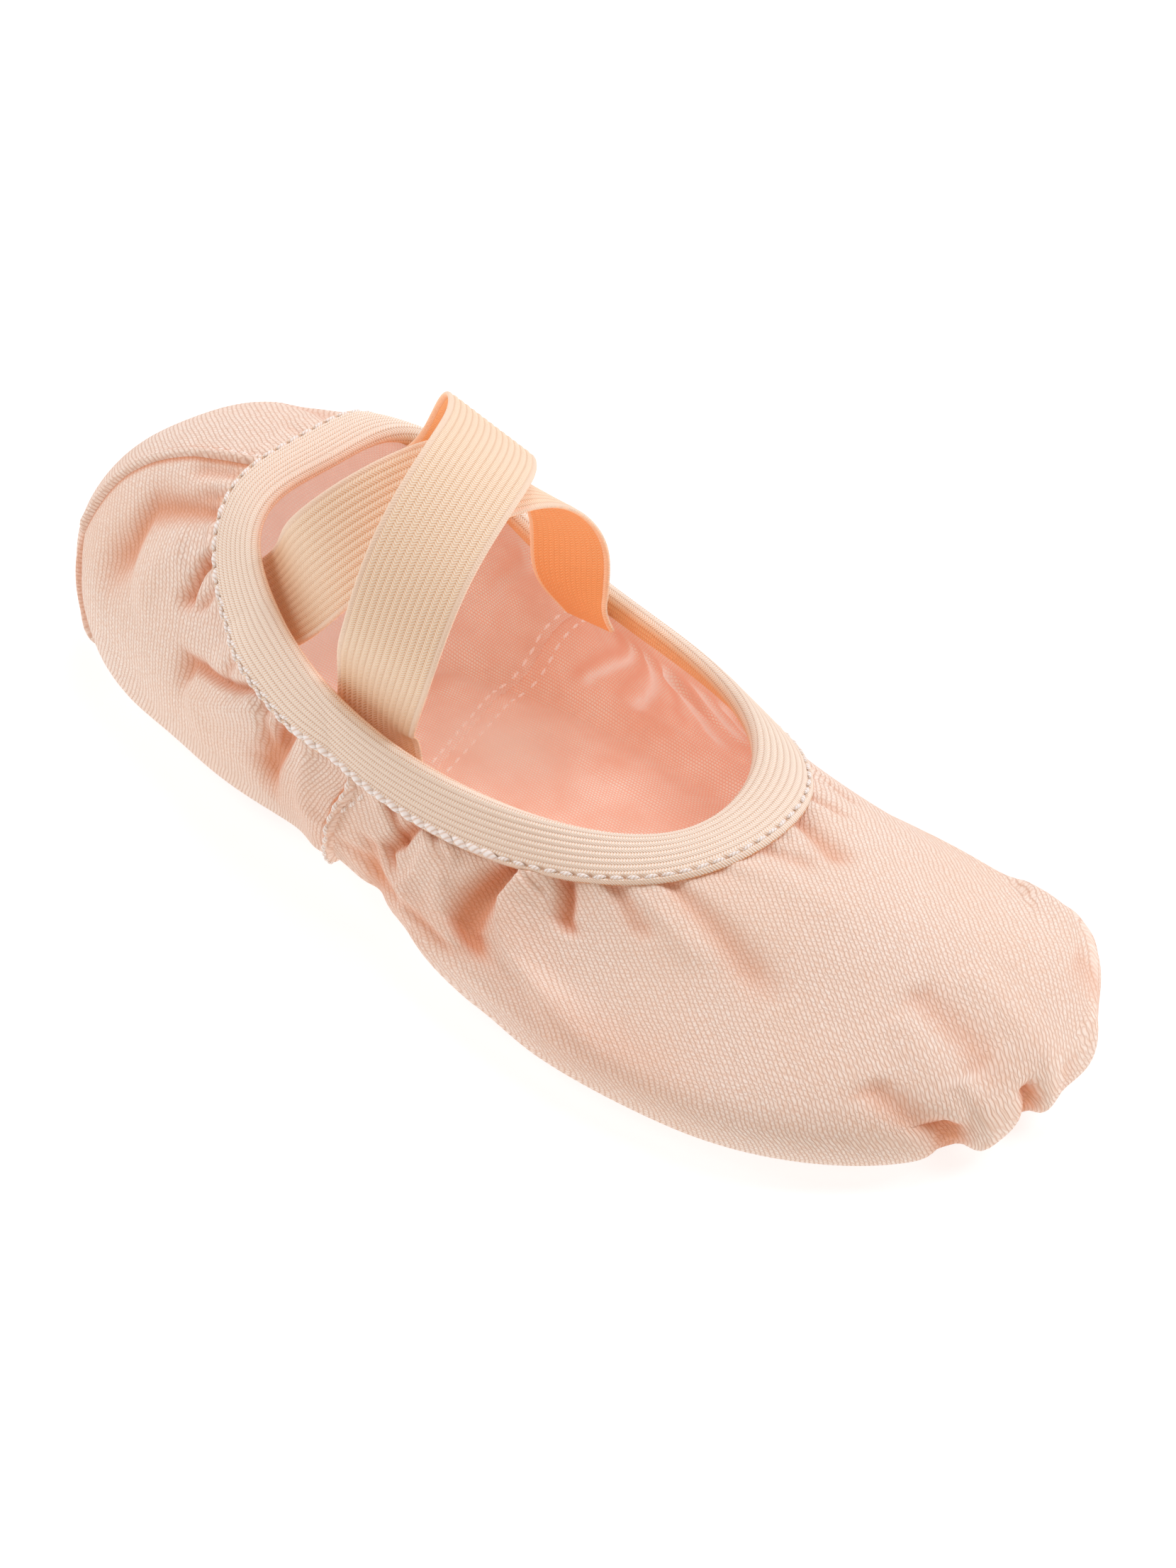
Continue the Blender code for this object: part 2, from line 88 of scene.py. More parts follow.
# %% Ribs and seams of the slipper
RIBS = (
    # widest line x, y, z     collar's rim x, y, z    lift of the arch
    (-5.0, 127.0, 21.0,       4.0,  71.5, 56.0,    0.0),
    (-19.0, 117.5, 20.0,     -11.2,  70.8, 55.5,    0.0),
    (-28.5,  95.5, 18.5,     -22.4,  64.0, 52.0,    0.0),
    (-35.0,  60.0, 16.5,     -29.2,  51.0, 46.0,    1.8),
    (-40.5,  18.5, 14.5,     -33.0,  32.5, 40.0,    5.0),
    (-49.0, -24.5, 13.0,     -32.5,  10.5, 36.0,    0.5),
    (-46.0, -67.5, 12.5,     -27.0, -11.5, 34.0,    0.0),
    (-29.5, -97.5, 12.0,     -16.0, -28.5, 32.5,    0.0),
    (2.0, -109.5, 12.0,     -1.5, -34.5, 32.5,    0.0),
    (29.0, -99.0, 12.5,      15.0, -28.5, 33.0,    0.0),
    (44.0, -68.5, 12.5,      26.0, -12.5, 34.0,    0.0),
    (38.5, -27.0, 13.0,      29.0,  10.0, 36.0,    0.5),
    (34.0,  18.0, 14.0,      28.5,  32.5, 40.0,    5.0),
    (29.5,  60.5, 16.5,      28.5,  51.5, 46.0,    1.8),
    (22.5,  96.0, 18.5,      25.5,  64.0, 52.5,    0.0),
    (11.5, 119.5, 20.0,      17.5,  70.5, 56.0,    0.0),
)

SEAMS = (
    # turn at the rim, turn at the floor
    (0.035, 0.062),
    (0.262, 0.237),
    (0.738, 0.763),
)
SEAM_REACH = 0.06  # turns either side in which the ribs lean along with a seam
HEEL_SEAM, OUTER_SEAM, INNER_SEAM = [sum(seam) / 2 for seam in SEAMS]
ARCH_BACK = 0.195  # turns between which the canvas closes under the foot
ARCH_FRONT = 0.300

# %% Curves
def closed_curve(rows, turns):
    """Points on the smooth closed curve through evenly spaced rows, at the given turns."""
    rows = np.asarray(rows, float)
    count = len(rows)
    before, after = np.roll(rows, 1, axis=0), np.roll(rows, -1, axis=0)
    system = 4 * np.eye(count) + np.roll(np.eye(count), 1, axis=0) + np.roll(np.eye(count), -1, axis=0)
    slopes = np.linalg.solve(system, 3 * (after - before))
    place = (np.asarray(turns, float) % 1.0) * count
    first = np.floor(place).astype(int) % count
    second = (first + 1) % count
    share = (place - np.floor(place))[..., None]
    return hermite(rows[first], rows[second], slopes[first], slopes[second], share)


def open_curve(rows, count):
    """count points, evenly spaced along the smooth curve through the rows, by their x, y and z."""
    rows = np.asarray(rows, float)
    steps = np.linalg.norm(np.diff(rows[:, :3], axis=0), axis=1)
    knots = np.concatenate([[0.0], np.cumsum(steps)])
    size = len(rows)
    system = np.zeros((size, size))
    wanted = np.zeros_like(rows)
    system[0, :2] = 2, 1
    system[-1, -2:] = 1, 2
    wanted[0] = 3 * (rows[1] - rows[0]) / steps[0]
    wanted[-1] = 3 * (rows[-1] - rows[-2]) / steps[-1]
    for i in range(1, size - 1):
        left, right = 1 / steps[i - 1], 1 / steps[i]
        system[i, i - 1 : i + 2] = left, 2 * (left + right), right
        wanted[i] = 3 * ((rows[i] - rows[i - 1]) * left**2 + (rows[i + 1] - rows[i]) * right**2)
    slopes = np.linalg.solve(system, wanted)
    at = np.linspace(0.0, knots[-1], count)
    first = np.clip(np.searchsorted(knots, at, side="right") - 1, 0, size - 2)
    span = steps[first][:, None]
    share = (at - knots[first])[:, None] / span
    return hermite(rows[first], rows[first + 1], slopes[first] * span, slopes[first + 1] * span, share)


def hermite(start, end, leaving, arriving, share):
    """The cubic from start to end with the given slopes."""
    squared, cubed = share**2, share**3
    return (
        (2 * cubed - 3 * squared + 1) * start
        + (cubed - 2 * squared + share) * leaving
        + (3 * squared - 2 * cubed) * end
        + (cubed - squared) * arriving
    )


# %% Ribs as curves
def bezier(start, handle_out, handle_in, end, shares):
    """Rows of points along one cubic per rib: the result is rib by share by x, y, z."""
    share = np.asarray(shares)[None, :, None]
    rest = 1 - share
    return (
        rest**3 * start[:, None]
        + 3 * rest**2 * share * handle_out[:, None]
        + 3 * rest * share**2 * handle_in[:, None]
        + share**3 * end[:, None]
    )


def unit(vectors):
    """The same directions with length 1."""
    return vectors / np.linalg.norm(vectors, axis=-1, keepdims=True)


def between(start, end, share):
    """What lies a share of the way from start to end."""
    return start * (1 - share) + end * share


def run_of(points):
    """Distances from the first point along a line of points, or along each row of a sheet."""
    steps = np.linalg.norm(np.diff(points, axis=-2), axis=-1)
    return np.concatenate([np.zeros_like(steps[..., :1]), np.cumsum(steps, axis=-1)], axis=-1)


def read_at(where, run, values):
    """Rows of values, one for each point of a line, read at distances along it."""
    return np.stack([np.interp(where, run, column) for column in values.T], axis=-1)


def along(points, distances):
    """The point at a distance down each rib's polyline, and each polyline's whole length."""
    reach = run_of(points)
    rib = np.arange(len(points))
    step = np.clip((reach < distances[:, None]).sum(axis=1) - 1, 0, points.shape[1] - 2)
    share = (distances - reach[rib, step]) / (reach[rib, step + 1] - reach[rib, step])
    return between(points[rib, step], points[rib, step + 1], share[:, None]), reach[:, -1]


# %% Easy steps
def ramp(values, start, end):
    """0 before the start, 1 past the end, and an easy step between."""
    share = np.clip((values - start) / (end - start), 0, 1)
    return share * share * (3 - 2 * share)


def bell(values, centre, width):
    """1 at the centre, and softly less on either side."""
    return np.exp(-(((values - centre) / width) ** 2))


def from_turn(turns, place):
    """Turns past a place, the short way round."""
    return (turns - place + 0.5) % 1.0 - 0.5


# %% Ribs of the last
def leaning(turns, depth):
    """The ribs' turns at a depth of 0 at the rim to 1 at the floor, where ribs follow the seams."""
    moved = turns.copy()
    for at_rim, at_floor in SEAMS:
        away = np.abs(from_turn(turns, (at_rim + at_floor) / 2))
        follows = np.cos(np.clip(away / SEAM_REACH, 0, 1) * math.pi / 2) ** 2
        moved = moved + (at_floor - at_rim) * (depth - 0.5) * follows
    return moved


def last_lines(turns):
    """The rim, the widest line, the floor line and the outward directions at each turn."""
    table = np.array(RIBS)
    table[:, [0, 3]] += CENTRE_X
    table[:, [1, 4]] += CENTRE_Y
    rows = closed_curve(table, turns)
    widest, rim, lift = rows[:, 0:3], rows[:, 3:6], np.maximum(rows[:, 6], 0.0)
    ahead, behind = closed_curve(table, turns + SMALL_TURN), closed_curve(table, turns - SMALL_TURN)
    tangent = ahead[:, :2] - behind[:, :2]
    outward = unit(np.stack([-tangent[:, 1], tangent[:, 0], np.zeros(len(turns))], axis=1))
    middle = table[:, :2].mean(axis=0)
    outward *= np.sign(((widest[:, :2] - middle) * outward[:, :2]).sum(axis=1))[:, None]
    floor = widest - outward * TUCK
    floor[:, 2] = SUEDE + CLEARANCE + lift
    return rim, widest, floor, outward


def flares(turns):
    """The angle at which each rib leaves the rim, in radians from straight down."""
    facing = np.cos(TURN * turns)
    heel = np.clip(facing, 0, 1) ** 2
    throat = np.clip(-facing, 0, 1) ** 3
    return np.radians(SIDE_FLARE + (HEEL_FLARE - SIDE_FLARE) * heel + (THROAT_FLARE - SIDE_FLARE) * throat)


# %% A curve down each rib
def skin(turns):
    """A curve down each rib, one from it in under the foot, and where the canvas ends."""
    rim, widest, floor, outward = last_lines(turns)
    down = np.array([0.0, 0.0, -1.0])
    run = widest - rim
    length = np.linalg.norm(run, axis=1)[:, None]
    drop = rim[:, 2:] - widest[:, 2:]
    level_run = run + down * -drop
    level = np.linalg.norm(level_run, axis=1)[:, None]
    own_way = np.clip((level - STEEP_RUN) / (LEVEL_RUN - STEEP_RUN), 0, 1)
    ahead = unit(own_way * level_run / np.maximum(level, 0.01) + (1 - own_way) * outward)
    angle = flares(turns)[:, None]
    leaving = ahead * np.sin(angle) + down * np.cos(angle)
    above = widest - down * WAIST_PULL * drop
    side = bezier(rim, rim + leaving * RIM_PULL * length, above, widest, np.linspace(0, 1, SIDE_POINTS))
    below = widest + down * UNDER_PULL * (widest[:, 2:] - floor[:, 2:])
    before_floor = floor + outward * UNDER_PULL * TUCK
    under = bezier(widest, below, before_floor, floor, np.linspace(0, 1, UNDER_POINTS))
    turned_in = floor - outward * MARGIN
    return side, under, turned_in


# %% Depths down a rib
# They name the band's lower edge, the widest line, the floor line, the margin's end and the middle line
# under the arch, from 0 at the rim.
AT_BAND, AT_WIDEST, AT_FLOOR, AT_MARGIN, AT_MIDDLE = 0.25, 2 / 3, 1.0, 7 / 6, 3 / 2


def canvas_row(turns, depth):
    """Points of one row round the slipper, and their distance below the band's lower edge."""
    side, under, turned_in = skin(leaning(turns, min(depth, AT_FLOOR)))
    none = np.zeros(len(turns))
    whole = along(side, none)[1]
    under_length = along(under, none)[1]
    if depth <= AT_BAND:
        below_rim = none + BAND_WIDTH * depth / AT_BAND
        return along(side, below_rim)[0], below_rim - BAND_WIDTH
    if depth <= AT_WIDEST:
        below_rim = BAND_WIDTH + (whole - BAND_WIDTH) * (depth - AT_BAND) / (AT_WIDEST - AT_BAND)
        return along(side, below_rim)[0], below_rim - BAND_WIDTH
    if depth <= AT_FLOOR:
        share = (depth - AT_WIDEST) / (AT_FLOOR - AT_WIDEST)
        return along(under, under_length * share)[0], whole - BAND_WIDTH + under_length * share
    to_floor = whole - BAND_WIDTH + under_length
    if depth <= AT_MARGIN:
        share = (depth - AT_FLOOR) / (AT_MARGIN - AT_FLOOR)
        return between(under[:, -1], turned_in, share), to_floor + MARGIN * share
    across = skin(leaning(1 - turns, AT_FLOOR))[2]
    share = (depth - AT_MARGIN) / (AT_MIDDLE - AT_MARGIN)
    middle = (turned_in + across) / 2
    reach = np.linalg.norm(middle - turned_in, axis=1)
    return between(turned_in, middle, share), to_floor + MARGIN + reach * share


# %% The canvas as rows
ROLLED = 0.36  # the largest share of its width by which the band rolls over the rim, at the heel
ROLLED_AT = 0.02
ROLLED_REACH = 0.125


def narrowed(turns):
    """The share of its width by which the band rolls over the rim."""
    return ROLLED * np.exp(-((from_turn(turns, ROLLED_AT) / ROLLED_REACH) ** 4))


def canvas_sheet(turns, depths):
    """The canvas's outer face as rows from top to bottom: points, distances below the band, normals."""
    rows = [canvas_row(turns[row], depth) for row, depth in enumerate(depths)]
    points = np.stack([row[0] for row in rows])
    below = np.stack([row[1] for row in rows])
    normals = unit(np.cross(np.gradient(points, axis=0), np.gradient(points, axis=1)))
    return points, below, normals


ten_turns = np.tile(np.linspace(0, 0.9, 10), (3, 1))
ten_ribs = canvas_sheet(ten_turns, (AT_BAND, AT_WIDEST, AT_FLOOR))[1]
print("ribs run", ten_ribs[1].round(0), "mm from the band to the widest line")

# %% [markdown]
# ## Creases
#
# Stretch canvas is sewn to an elastic that was pulled tight, so when the elastic springs back the cloth
# gathers in folds that start at the band and fade downwards. Cloth simulation could make such folds,
# but not these ones in these places, so each fold is listed one by one: a line down the slipper, a depth
# and a width. A trough goes in and a ridge comes out along the face's normal, and a lean pushes a ridge
# sideways until it hangs over its trough.

# %% Table of creases
CREASES = (
    # name, height (minus goes in), line as (mm below the band, turn) pairs, half-width at its top and
    # bottom, width of its heel side and of its toe side against that, lean towards the toe
    ("heel seam dip", -1.4, ((50, 0.056), (66, 0.064)), 4.0, 7.0, 0.8, 1.2, 0.0),
    ("heel pocket 1", -1.2, ((0, 0.060), (9, 0.060)), 1.8, 2.4, 1.0, 1.0, 0.0),
    ("heel pocket 2", -1.0, ((0, 0.080), (5, 0.080)), 1.2, 1.4, 1.0, 1.0, 0.0),
    ("heel pocket 3", -2.2, ((0, 0.093), (10, 0.089), (20, 0.084), (27, 0.100)), 2.0, 4.0, 1.0, 1.2, 0.0),
    ("heel roll 3", 0.9, ((10, 0.118), (16, 0.118), (22, 0.125)), 4.0, 4.5, 1.0, 1.0, 0.0),
    ("heel pocket 4", -2.4, ((0, 0.124), (4, 0.130), (9, 0.142)), 1.3, 2.0, 1.0, 1.0, 0.0),
    ("heel pocket 5", -1.4, ((0, 0.146), (5, 0.150)), 1.0, 1.3, 1.0, 1.0, 0.0),
    ("heel pocket 6", -1.0, ((0, 0.183), (4, 0.183)), 1.0, 1.3, 1.0, 1.0, 0.0),
    ("waist fold 7", -2.2, ((0, 0.201), (6, 0.188), (15, 0.166)), 1.4, 2.4, 1.2, 0.8, 0.0),
    ("waist roll 7", 1.0, ((4, 0.202), (10, 0.189), (18, 0.176)), 2.4, 3.0, 1.0, 1.2, -0.5),
    ("waist pocket 8", -1.2, ((0, 0.206), (7, 0.209)), 1.0, 1.4, 1.0, 1.0, 0.0),
    ("waist pocket 9", -1.1, ((0, 0.216), (4, 0.216)), 1.0, 1.2, 1.0, 1.0, 0.0),
    ("waist trough 10", -2.7, ((0, 0.223), (6, 0.218), (13, 0.212)), 1.8, 3.0, 1.3, 0.8, 0.0),
    ("waist roll 10", 0.9, ((0, 0.232), (12, 0.230)), 1.8, 2.6, 1.0, 1.0, -0.3),
    ("welt swell", 1.1, ((15, 0.236), (30, 0.234)), 3.5, 4.0, 1.0, 1.0, 0.0),
    ("waist nick", -1.1, ((13, 0.262), (30, 0.262)), 3.0, 3.5, 1.0, 1.0, 0.0),
    ("ball hollow", -1.1, ((17, 0.256), (20, 0.270), (25, 0.296)), 6.0, 7.5, 1.0, 1.0, 0.0),
    ("ball swell", 1.0, ((28, 0.284), (40, 0.292)), 5.0, 7.0, 1.0, 1.2, 0.0),
    ("fold A", -1.2, ((0, 0.284), (5, 0.288)), 1.1, 1.6, 1.0, 1.0, 0.0),
    ("fold B", -2.2, ((0, 0.307), (6, 0.290), (11, 0.275)), 1.4, 2.2, 1.2, 0.8, 0.0),
    ("roll B", 0.9, ((3, 0.312), (12, 0.295), (19, 0.277)), 2.0, 3.0, 0.8, 1.3, -0.5),
    ("fold C", -1.1, ((0, 0.314), (4, 0.318)), 1.0, 1.3, 1.0, 1.0, 0.0),
    ("main trough", -3.3, ((0, 0.357), (5, 0.345), (10, 0.333), (14, 0.325), (18, 0.318)),
     1.7, 4.6, 1.3, 0.9, 0.0),
    ("main ridge", 1.0, ((3, 0.322), (11, 0.309), (17, 0.305), (20, 0.303)), 2.6, 3.4, 1.3, 0.8, 0.5),
    ("main roll", 2.4, ((1, 0.366), (8, 0.350), (14, 0.343), (22, 0.338), (30, 0.342)),
     2.0, 5.0, 0.7, 1.8, -1.4),
    ("fold E", -1.2, ((0, 0.366), (3, 0.369)), 0.9, 1.1, 1.0, 1.0, 0.0),
    ("fold F", -2.6, ((0, 0.385), (4, 0.381), (9, 0.374)), 1.4, 1.9, 1.3, 0.8, 0.0),
    ("fold G", -1.1, ((0, 0.408), (9, 0.408)), 1.8, 2.6, 1.0, 1.0, 0.0),
    ("roll G", 0.6, ((1, 0.417), (15, 0.423)), 1.8, 3.0, 1.0, 1.0, 0.0),
    ("fold H", -1.1, ((0, 0.437), (12, 0.440), (22, 0.440)), 2.0, 3.5, 1.0, 1.0, 0.0),
    ("roll I", 0.5, ((3, 0.480), (18, 0.490)), 2.5, 4.0, 1.0, 1.0, 0.0),
    ("fold J", -0.8, ((1, 0.500), (7, 0.505)), 1.4, 2.0, 1.0, 1.0, 0.0),
    ("fold L", -1.4, ((0, 0.535), (10, 0.525)), 1.8, 2.8, 1.0, 1.0, 0.0),
    ("fold M", -0.9, ((0, 0.563), (5, 0.566)), 1.2, 1.6, 1.0, 1.0, 0.0),
    ("toe valley", -0.9, ((42, 0.488), (56, 0.490), (68, 0.478)), 3.5, 4.0, 1.0, 1.0, 0.0),
    ("toe ridge left", 0.5, ((45, 0.474), (64, 0.470)), 3.0, 3.5, 1.0, 1.0, 0.0),
    ("toe ridge right", 0.7, ((45, 0.512), (62, 0.512)), 4.0, 4.5, 1.0, 1.0, 0.0),
    ("toe shade 1", -1.3, ((54, 0.451), (62, 0.457), (70, 0.467)), 3.0, 3.2, 1.2, 0.9, 0.0),
    ("toe fold 1", -2.4, ((66, 0.463), (70, 0.468), (80, 0.470)), 2.0, 2.8, 1.3, 0.9, 0.0),
    ("toe roll 1", 1.4, ((61, 0.480), (72, 0.482), (82, 0.482)), 3.2, 3.4, 0.8, 1.0, -1.2),
    ("toe fold 2", -3.2, ((69, 0.500), (74, 0.502), (84, 0.502)), 1.4, 2.6, 1.5, 0.9, 0.0),
    ("toe roll 2", 0.5, ((66, 0.513), (76, 0.513), (84, 0.513)), 3.0, 3.2, 0.8, 1.1, -0.8),
    ("toe dip 2", -0.6, ((70, 0.521), (84, 0.523)), 3.4, 3.6, 1.0, 1.0, 0.0),
    ("toe roll 3", 0.8, ((66, 0.545), (74, 0.545), (84, 0.545)), 3.6, 3.6, 1.0, 1.0, 0.0),
    ("toe dip 4", -0.9, ((58, 0.567), (72, 0.567), (84, 0.567)), 7.0, 7.0, 1.0, 1.0, 0.0),
    ("toe roll 5", 2.3, ((48, 0.600), (62, 0.600), (84, 0.600)), 9.0, 9.0, 1.0, 1.0, 0.0),
    ("far fold N", -1.0, ((0, 0.610), (9, 0.600)), 1.6, 2.4, 1.0, 1.0, 0.0),
    ("far fold O", -0.8, ((0, 0.655), (12, 0.668)), 1.6, 2.8, 1.0, 1.0, 0.0),
    ("far fold P", -0.9, ((0, 0.700), (14, 0.690)), 1.6, 3.0, 1.0, 1.0, 0.0),
    ("far fold Q", -1.2, ((0, 0.785), (12, 0.800)), 1.6, 2.8, 1.0, 1.0, 0.0),
    ("far fold R", -1.2, ((0, 0.850), (14, 0.862)), 1.6, 3.0, 1.0, 1.0, 0.0),
    ("far fold S", -1.0, ((0, 0.905), (12, 0.912)), 1.6, 2.8, 1.0, 1.0, 0.0),
    ("far fold T", -0.9, ((0, 0.955), (10, 0.950)), 1.6, 2.4, 1.0, 1.0, 0.0),
)

# %% Bulges, painted shades and puckers
BULGES = (
    # height, mm below the band, turn, reach down in mm, reach round in turns
    (3.3, 65, 0.575, 18, 0.042),
)
PAINTED_SHADES = (
    # how much painted shade, mm below the band, turn, reach down in mm, reach round in turns
    (0.28, 40, 0.350, 12, 0.040),
    (0.30, 23, 0.284, 9, 0.034),
    (0.16, 46, 0.030, 16, 0.040),
    (0.20, 16, 0.230, 10, 0.030),
    (0.20, 14, 0.343, 9, 0.020),
)
FADE = 5.0  # mm over which a crease's lower end dies away, or more on a long crease
FADE_OF_RUN = 0.55  # of its length
TOP_FADE = 2.5  # and its top, where that isn't at the band
FULL_HOLLOW = 2.5  # mm of depth at which a crease takes its deepest painted shade
HELD_FROM, HELD_TO = -1.0, 0.5  # mm below the band between which the cloth comes free of it
PUCKERS = (
    # period round the collar in mm, height, start
    (8.3, 0.16, 0.4),
    (5.1, 0.12, 1.9),
    (13.7, 0.20, 3.1),
)
PUCKER_FADE = 7.0  # mm below the band
COLLAR_LOOP = 330.0  # mm round the band's lower edge
SWELLS = (
    # period round in turns, period down in mm, height
    (0.16, 60.0, 0.35),
    (0.11, 38.0, 0.25),
)
SEAM_WANDERS = (
    # seam, then how far its line strays from its rib: (mm below the band, turns) pairs
    (HEEL_SEAM, ((0, 0.0), (30, 0.002), (50, 0.008))),
    (OUTER_SEAM, ((2, 0.0065), (9, -0.0035), (14, -0.007), (22, -0.008))),
    (INNER_SEAM, ((2, -0.0065), (9, 0.0035), (14, 0.007), (22, 0.008))),
)
SEAM_PULL = 0.03  # turns either side that follow a seam's wandering
print(len(CREASES), "creases")


# %% Creases as moves of the canvas
def wandered(turns, depths):
    """Turns that follow the seams' real lines."""
    below = np.stack([canvas_row(turns[row], depth)[1] for row, depth in enumerate(depths)])
    moved = turns.copy()
    for seam, strays in SEAM_WANDERS:
        places, shifts = np.array(strays).T
        moved = moved + np.interp(below, places, shifts) * bell(from_turn(turns, seam), 0.0, SEAM_PULL)
    return moved


def spots(below, turns, table):
    """The sum of some soft round spots, each with its height, its place and its reaches."""
    return sum(
        height * bell(below, at_below, mm_reach) * bell(turns, at_turn, turn_reach)
        for height, at_below, at_turn, mm_reach, turn_reach in table
    )


def crease_moves(turns, below, round_step):
    """How far each point moves out, how far towards the toe, and how much painted shade it gets."""
    out, sideways = np.zeros_like(below), np.zeros_like(below)
    for _, height, line, top_width, end_width, heel_side, toe_side, lean in CREASES:
        places, line_turns = np.array(line).T
        start, end = places[0], places[-1]
        away = from_turn(turns, np.interp(below, places, line_turns)) * round_step
        width = between(top_width, end_width, np.clip((below - start) / (end - start), 0, 1))
        width = width * np.where(away < 0, heel_side, toe_side)
        begins = 1.0 if start <= 0 else ramp(below, start - TOP_FADE, start)
        fade = max(FADE, FADE_OF_RUN * (end - start))
        shape = bell(away, 0.0, width) * begins * ramp(below, end + fade, end)
        out += height * shape
        sideways += lean * shape
    swell = sum(
        height * np.cos(TURN * turns / round_period) * np.sin(TURN * below / down_period)
        for round_period, down_period, height in SWELLS
    )
    pucker = sum(
        height * np.cos(TURN * turns * COLLAR_LOOP / period + start)
        for period, height, start in PUCKERS
    )
    out += pucker * ramp(below, PUCKER_FADE, 0.0)
    # painted shade: the colour darkens in the troughs of the creases, and more in the painted shade spots
    hollow = np.clip(-out / FULL_HOLLOW, 0, 1)
    out = out + spots(below, turns, BULGES)
    hollow = np.clip(hollow + spots(below, turns, PAINTED_SHADES), 0, 1)
    free = ramp(below, HELD_FROM, HELD_TO)
    return (out + swell) * free, sideways * free, hollow


# %% [markdown]
# ## From a flat grid to cloth
#
# Every sheet of cloth starts as a flat grid, as it comes off the roll, and its points are then laid on
# the last by function. The grid keeps a UV map in real millimetres of cloth, so that a weave drawn on
# it follows the cloth round curves and into folds.

# %% Helpers for sheets
CLOTH_MAP = "cloth_mm"
WEAVE_STEPS = 36  # the weave is worked out on a coarse copy of a sheet, and the fine one is read from it
STRAIGHTEN = 0.4  # how much of the pitch's error is taken out at the cost of straight lines
SHORTEST = 0.2  # mm, so that no step of the coarse copy weighs too much
FOLD_ANGLE = math.radians(50)  # edges of a sheet that are sharper than this stay sharp


def alone(thing):
    """Makes one object the only selected one, and the active one."""
    bpy.ops.object.select_all(action="DESELECT")
    thing.select_set(True)
    bpy.context.view_layer.objects.active = thing


def wrap_grid(name, points, cloth, **marks):
    """A grid mesh laid on points (rows by columns, in mm), with a UV map in mm of cloth and named marks."""
    rows, columns = points.shape[:2]
    bpy.ops.object.select_all(action="DESELECT")
    bpy.ops.mesh.primitive_grid_add(x_subdivisions=columns - 1, y_subdivisions=rows - 1, size=1)
    sheet = bpy.context.object
    sheet.name = sheet.data.name = name
    mesh = sheet.data
    mesh.vertices.foreach_set("co", (points * MM).reshape(-1))
    mesh.uv_layers[0].name = CLOTH_MAP
    corner_points = np.empty(len(mesh.loops), int)
    mesh.loops.foreach_get("vertex_index", corner_points)
    mesh.uv_layers[0].uv.foreach_set("vector", cloth.reshape(-1, 2)[corner_points].reshape(-1))
    for mark, values in marks.items():
        mesh.attributes.new(mark, "FLOAT", "POINT").data.foreach_set("value", values.reshape(-1))
    mesh.update()
    return sheet


def thicken(sheet, thickness):
    """Gives a sheet a wall inwards of its face."""
    alone(sheet)
    wall = sheet.modifiers.new("wall", "SOLIDIFY")
    wall.thickness = thickness * MM
    wall.offset = -1
    bpy.ops.object.modifier_apply(modifier=wall.name)
    bpy.ops.object.shade_smooth_by_angle(angle=FOLD_ANGLE)


def close_up(tube, open_ends):
    """Joins the points that meet in a closed section, fills open ends and turns every face outwards."""
    alone(tube)
    bpy.ops.object.mode_set(mode="EDIT")
    bpy.ops.mesh.select_all(action="SELECT")
    bpy.ops.mesh.remove_doubles(threshold=0.01 * MM)
    if open_ends:
        bpy.ops.mesh.select_all(action="DESELECT")
        bpy.ops.mesh.select_mode(type="EDGE")
        bpy.ops.mesh.select_non_manifold()
        bpy.ops.mesh.fill()
        bpy.ops.mesh.select_all(action="SELECT")
    bpy.ops.mesh.normals_make_consistent(inside=False)
    bpy.ops.object.mode_set(mode="OBJECT")


# %% How cloth lies on a sheet
def every(count):
    """Places along a side of a sheet, from its first line of points to its last."""
    return np.unique(np.round(np.linspace(0, count - 1, min(count, WEAVE_STEPS))).astype(int))


def lay_weave(points, across):
    """UV in mm: U grows along the given directions and V up the ribs from them, as near as cloth can."""
    rows, columns = every(points.shape[0]), every(points.shape[1])
    coarse, across = points[np.ix_(rows, columns)], across[np.ix_(rows, columns)]
    around, up = np.gradient(coarse, axis=1), np.gradient(coarse, axis=0)
    facing = unit(np.cross(around, up))
    level = across - facing * (across * facing).sum(axis=2, keepdims=True)
    upwards = np.cross(facing, unit(level))
    across = level / np.linalg.norm(level, axis=2, keepdims=True) ** STRAIGHTEN
    numbers = np.arange(len(rows) * len(columns)).reshape(len(rows), len(columns))
    start = np.concatenate([numbers[:, :-1].ravel(), numbers[:-1].ravel()])
    end = np.concatenate([numbers[:, 1:].ravel(), numbers[1:].ravel()])
    step = coarse.reshape(-1, 3)[end] - coarse.reshape(-1, 3)[start]
    weight = 1 / np.maximum((step * step).sum(axis=1), SHORTEST**2)
    system = 1e-6 * np.eye(numbers.size)
    wanted = np.zeros((numbers.size, 2))
    for one, other, sign in ((start, end, -1), (end, start, 1)):
        np.add.at(system, (one, one), weight)
        np.add.at(system, (one, other), -weight)
        for column, field in enumerate((across, upwards)):
            mean = (field.reshape(-1, 3)[start] + field.reshape(-1, 3)[end]) / 2
            np.add.at(wanted[:, column], one, sign * weight * (step * mean).sum(axis=1))
    laid = np.linalg.solve(system, wanted).reshape(len(rows), len(columns), 2)
    wide = np.array([[np.interp(np.arange(points.shape[1]), columns, line) for line in part]
                     for part in laid.transpose(2, 0, 1)])
    tall = np.array([[np.interp(np.arange(points.shape[0]), rows, line) for line in part.T]
                     for part in wide])
    return tall.transpose(2, 1, 0)


# %% [markdown]
# ## Materials
#
# Every finish here is thread: twilled stretch canvas, knitted and woven elastic, brushed cotton and
# split suede. Cloth has no gloss to speak of, so each one is rough, with a little sheen from its fuzz.
# The weave is drawn from the UV map, so its scale is in real millimetres.

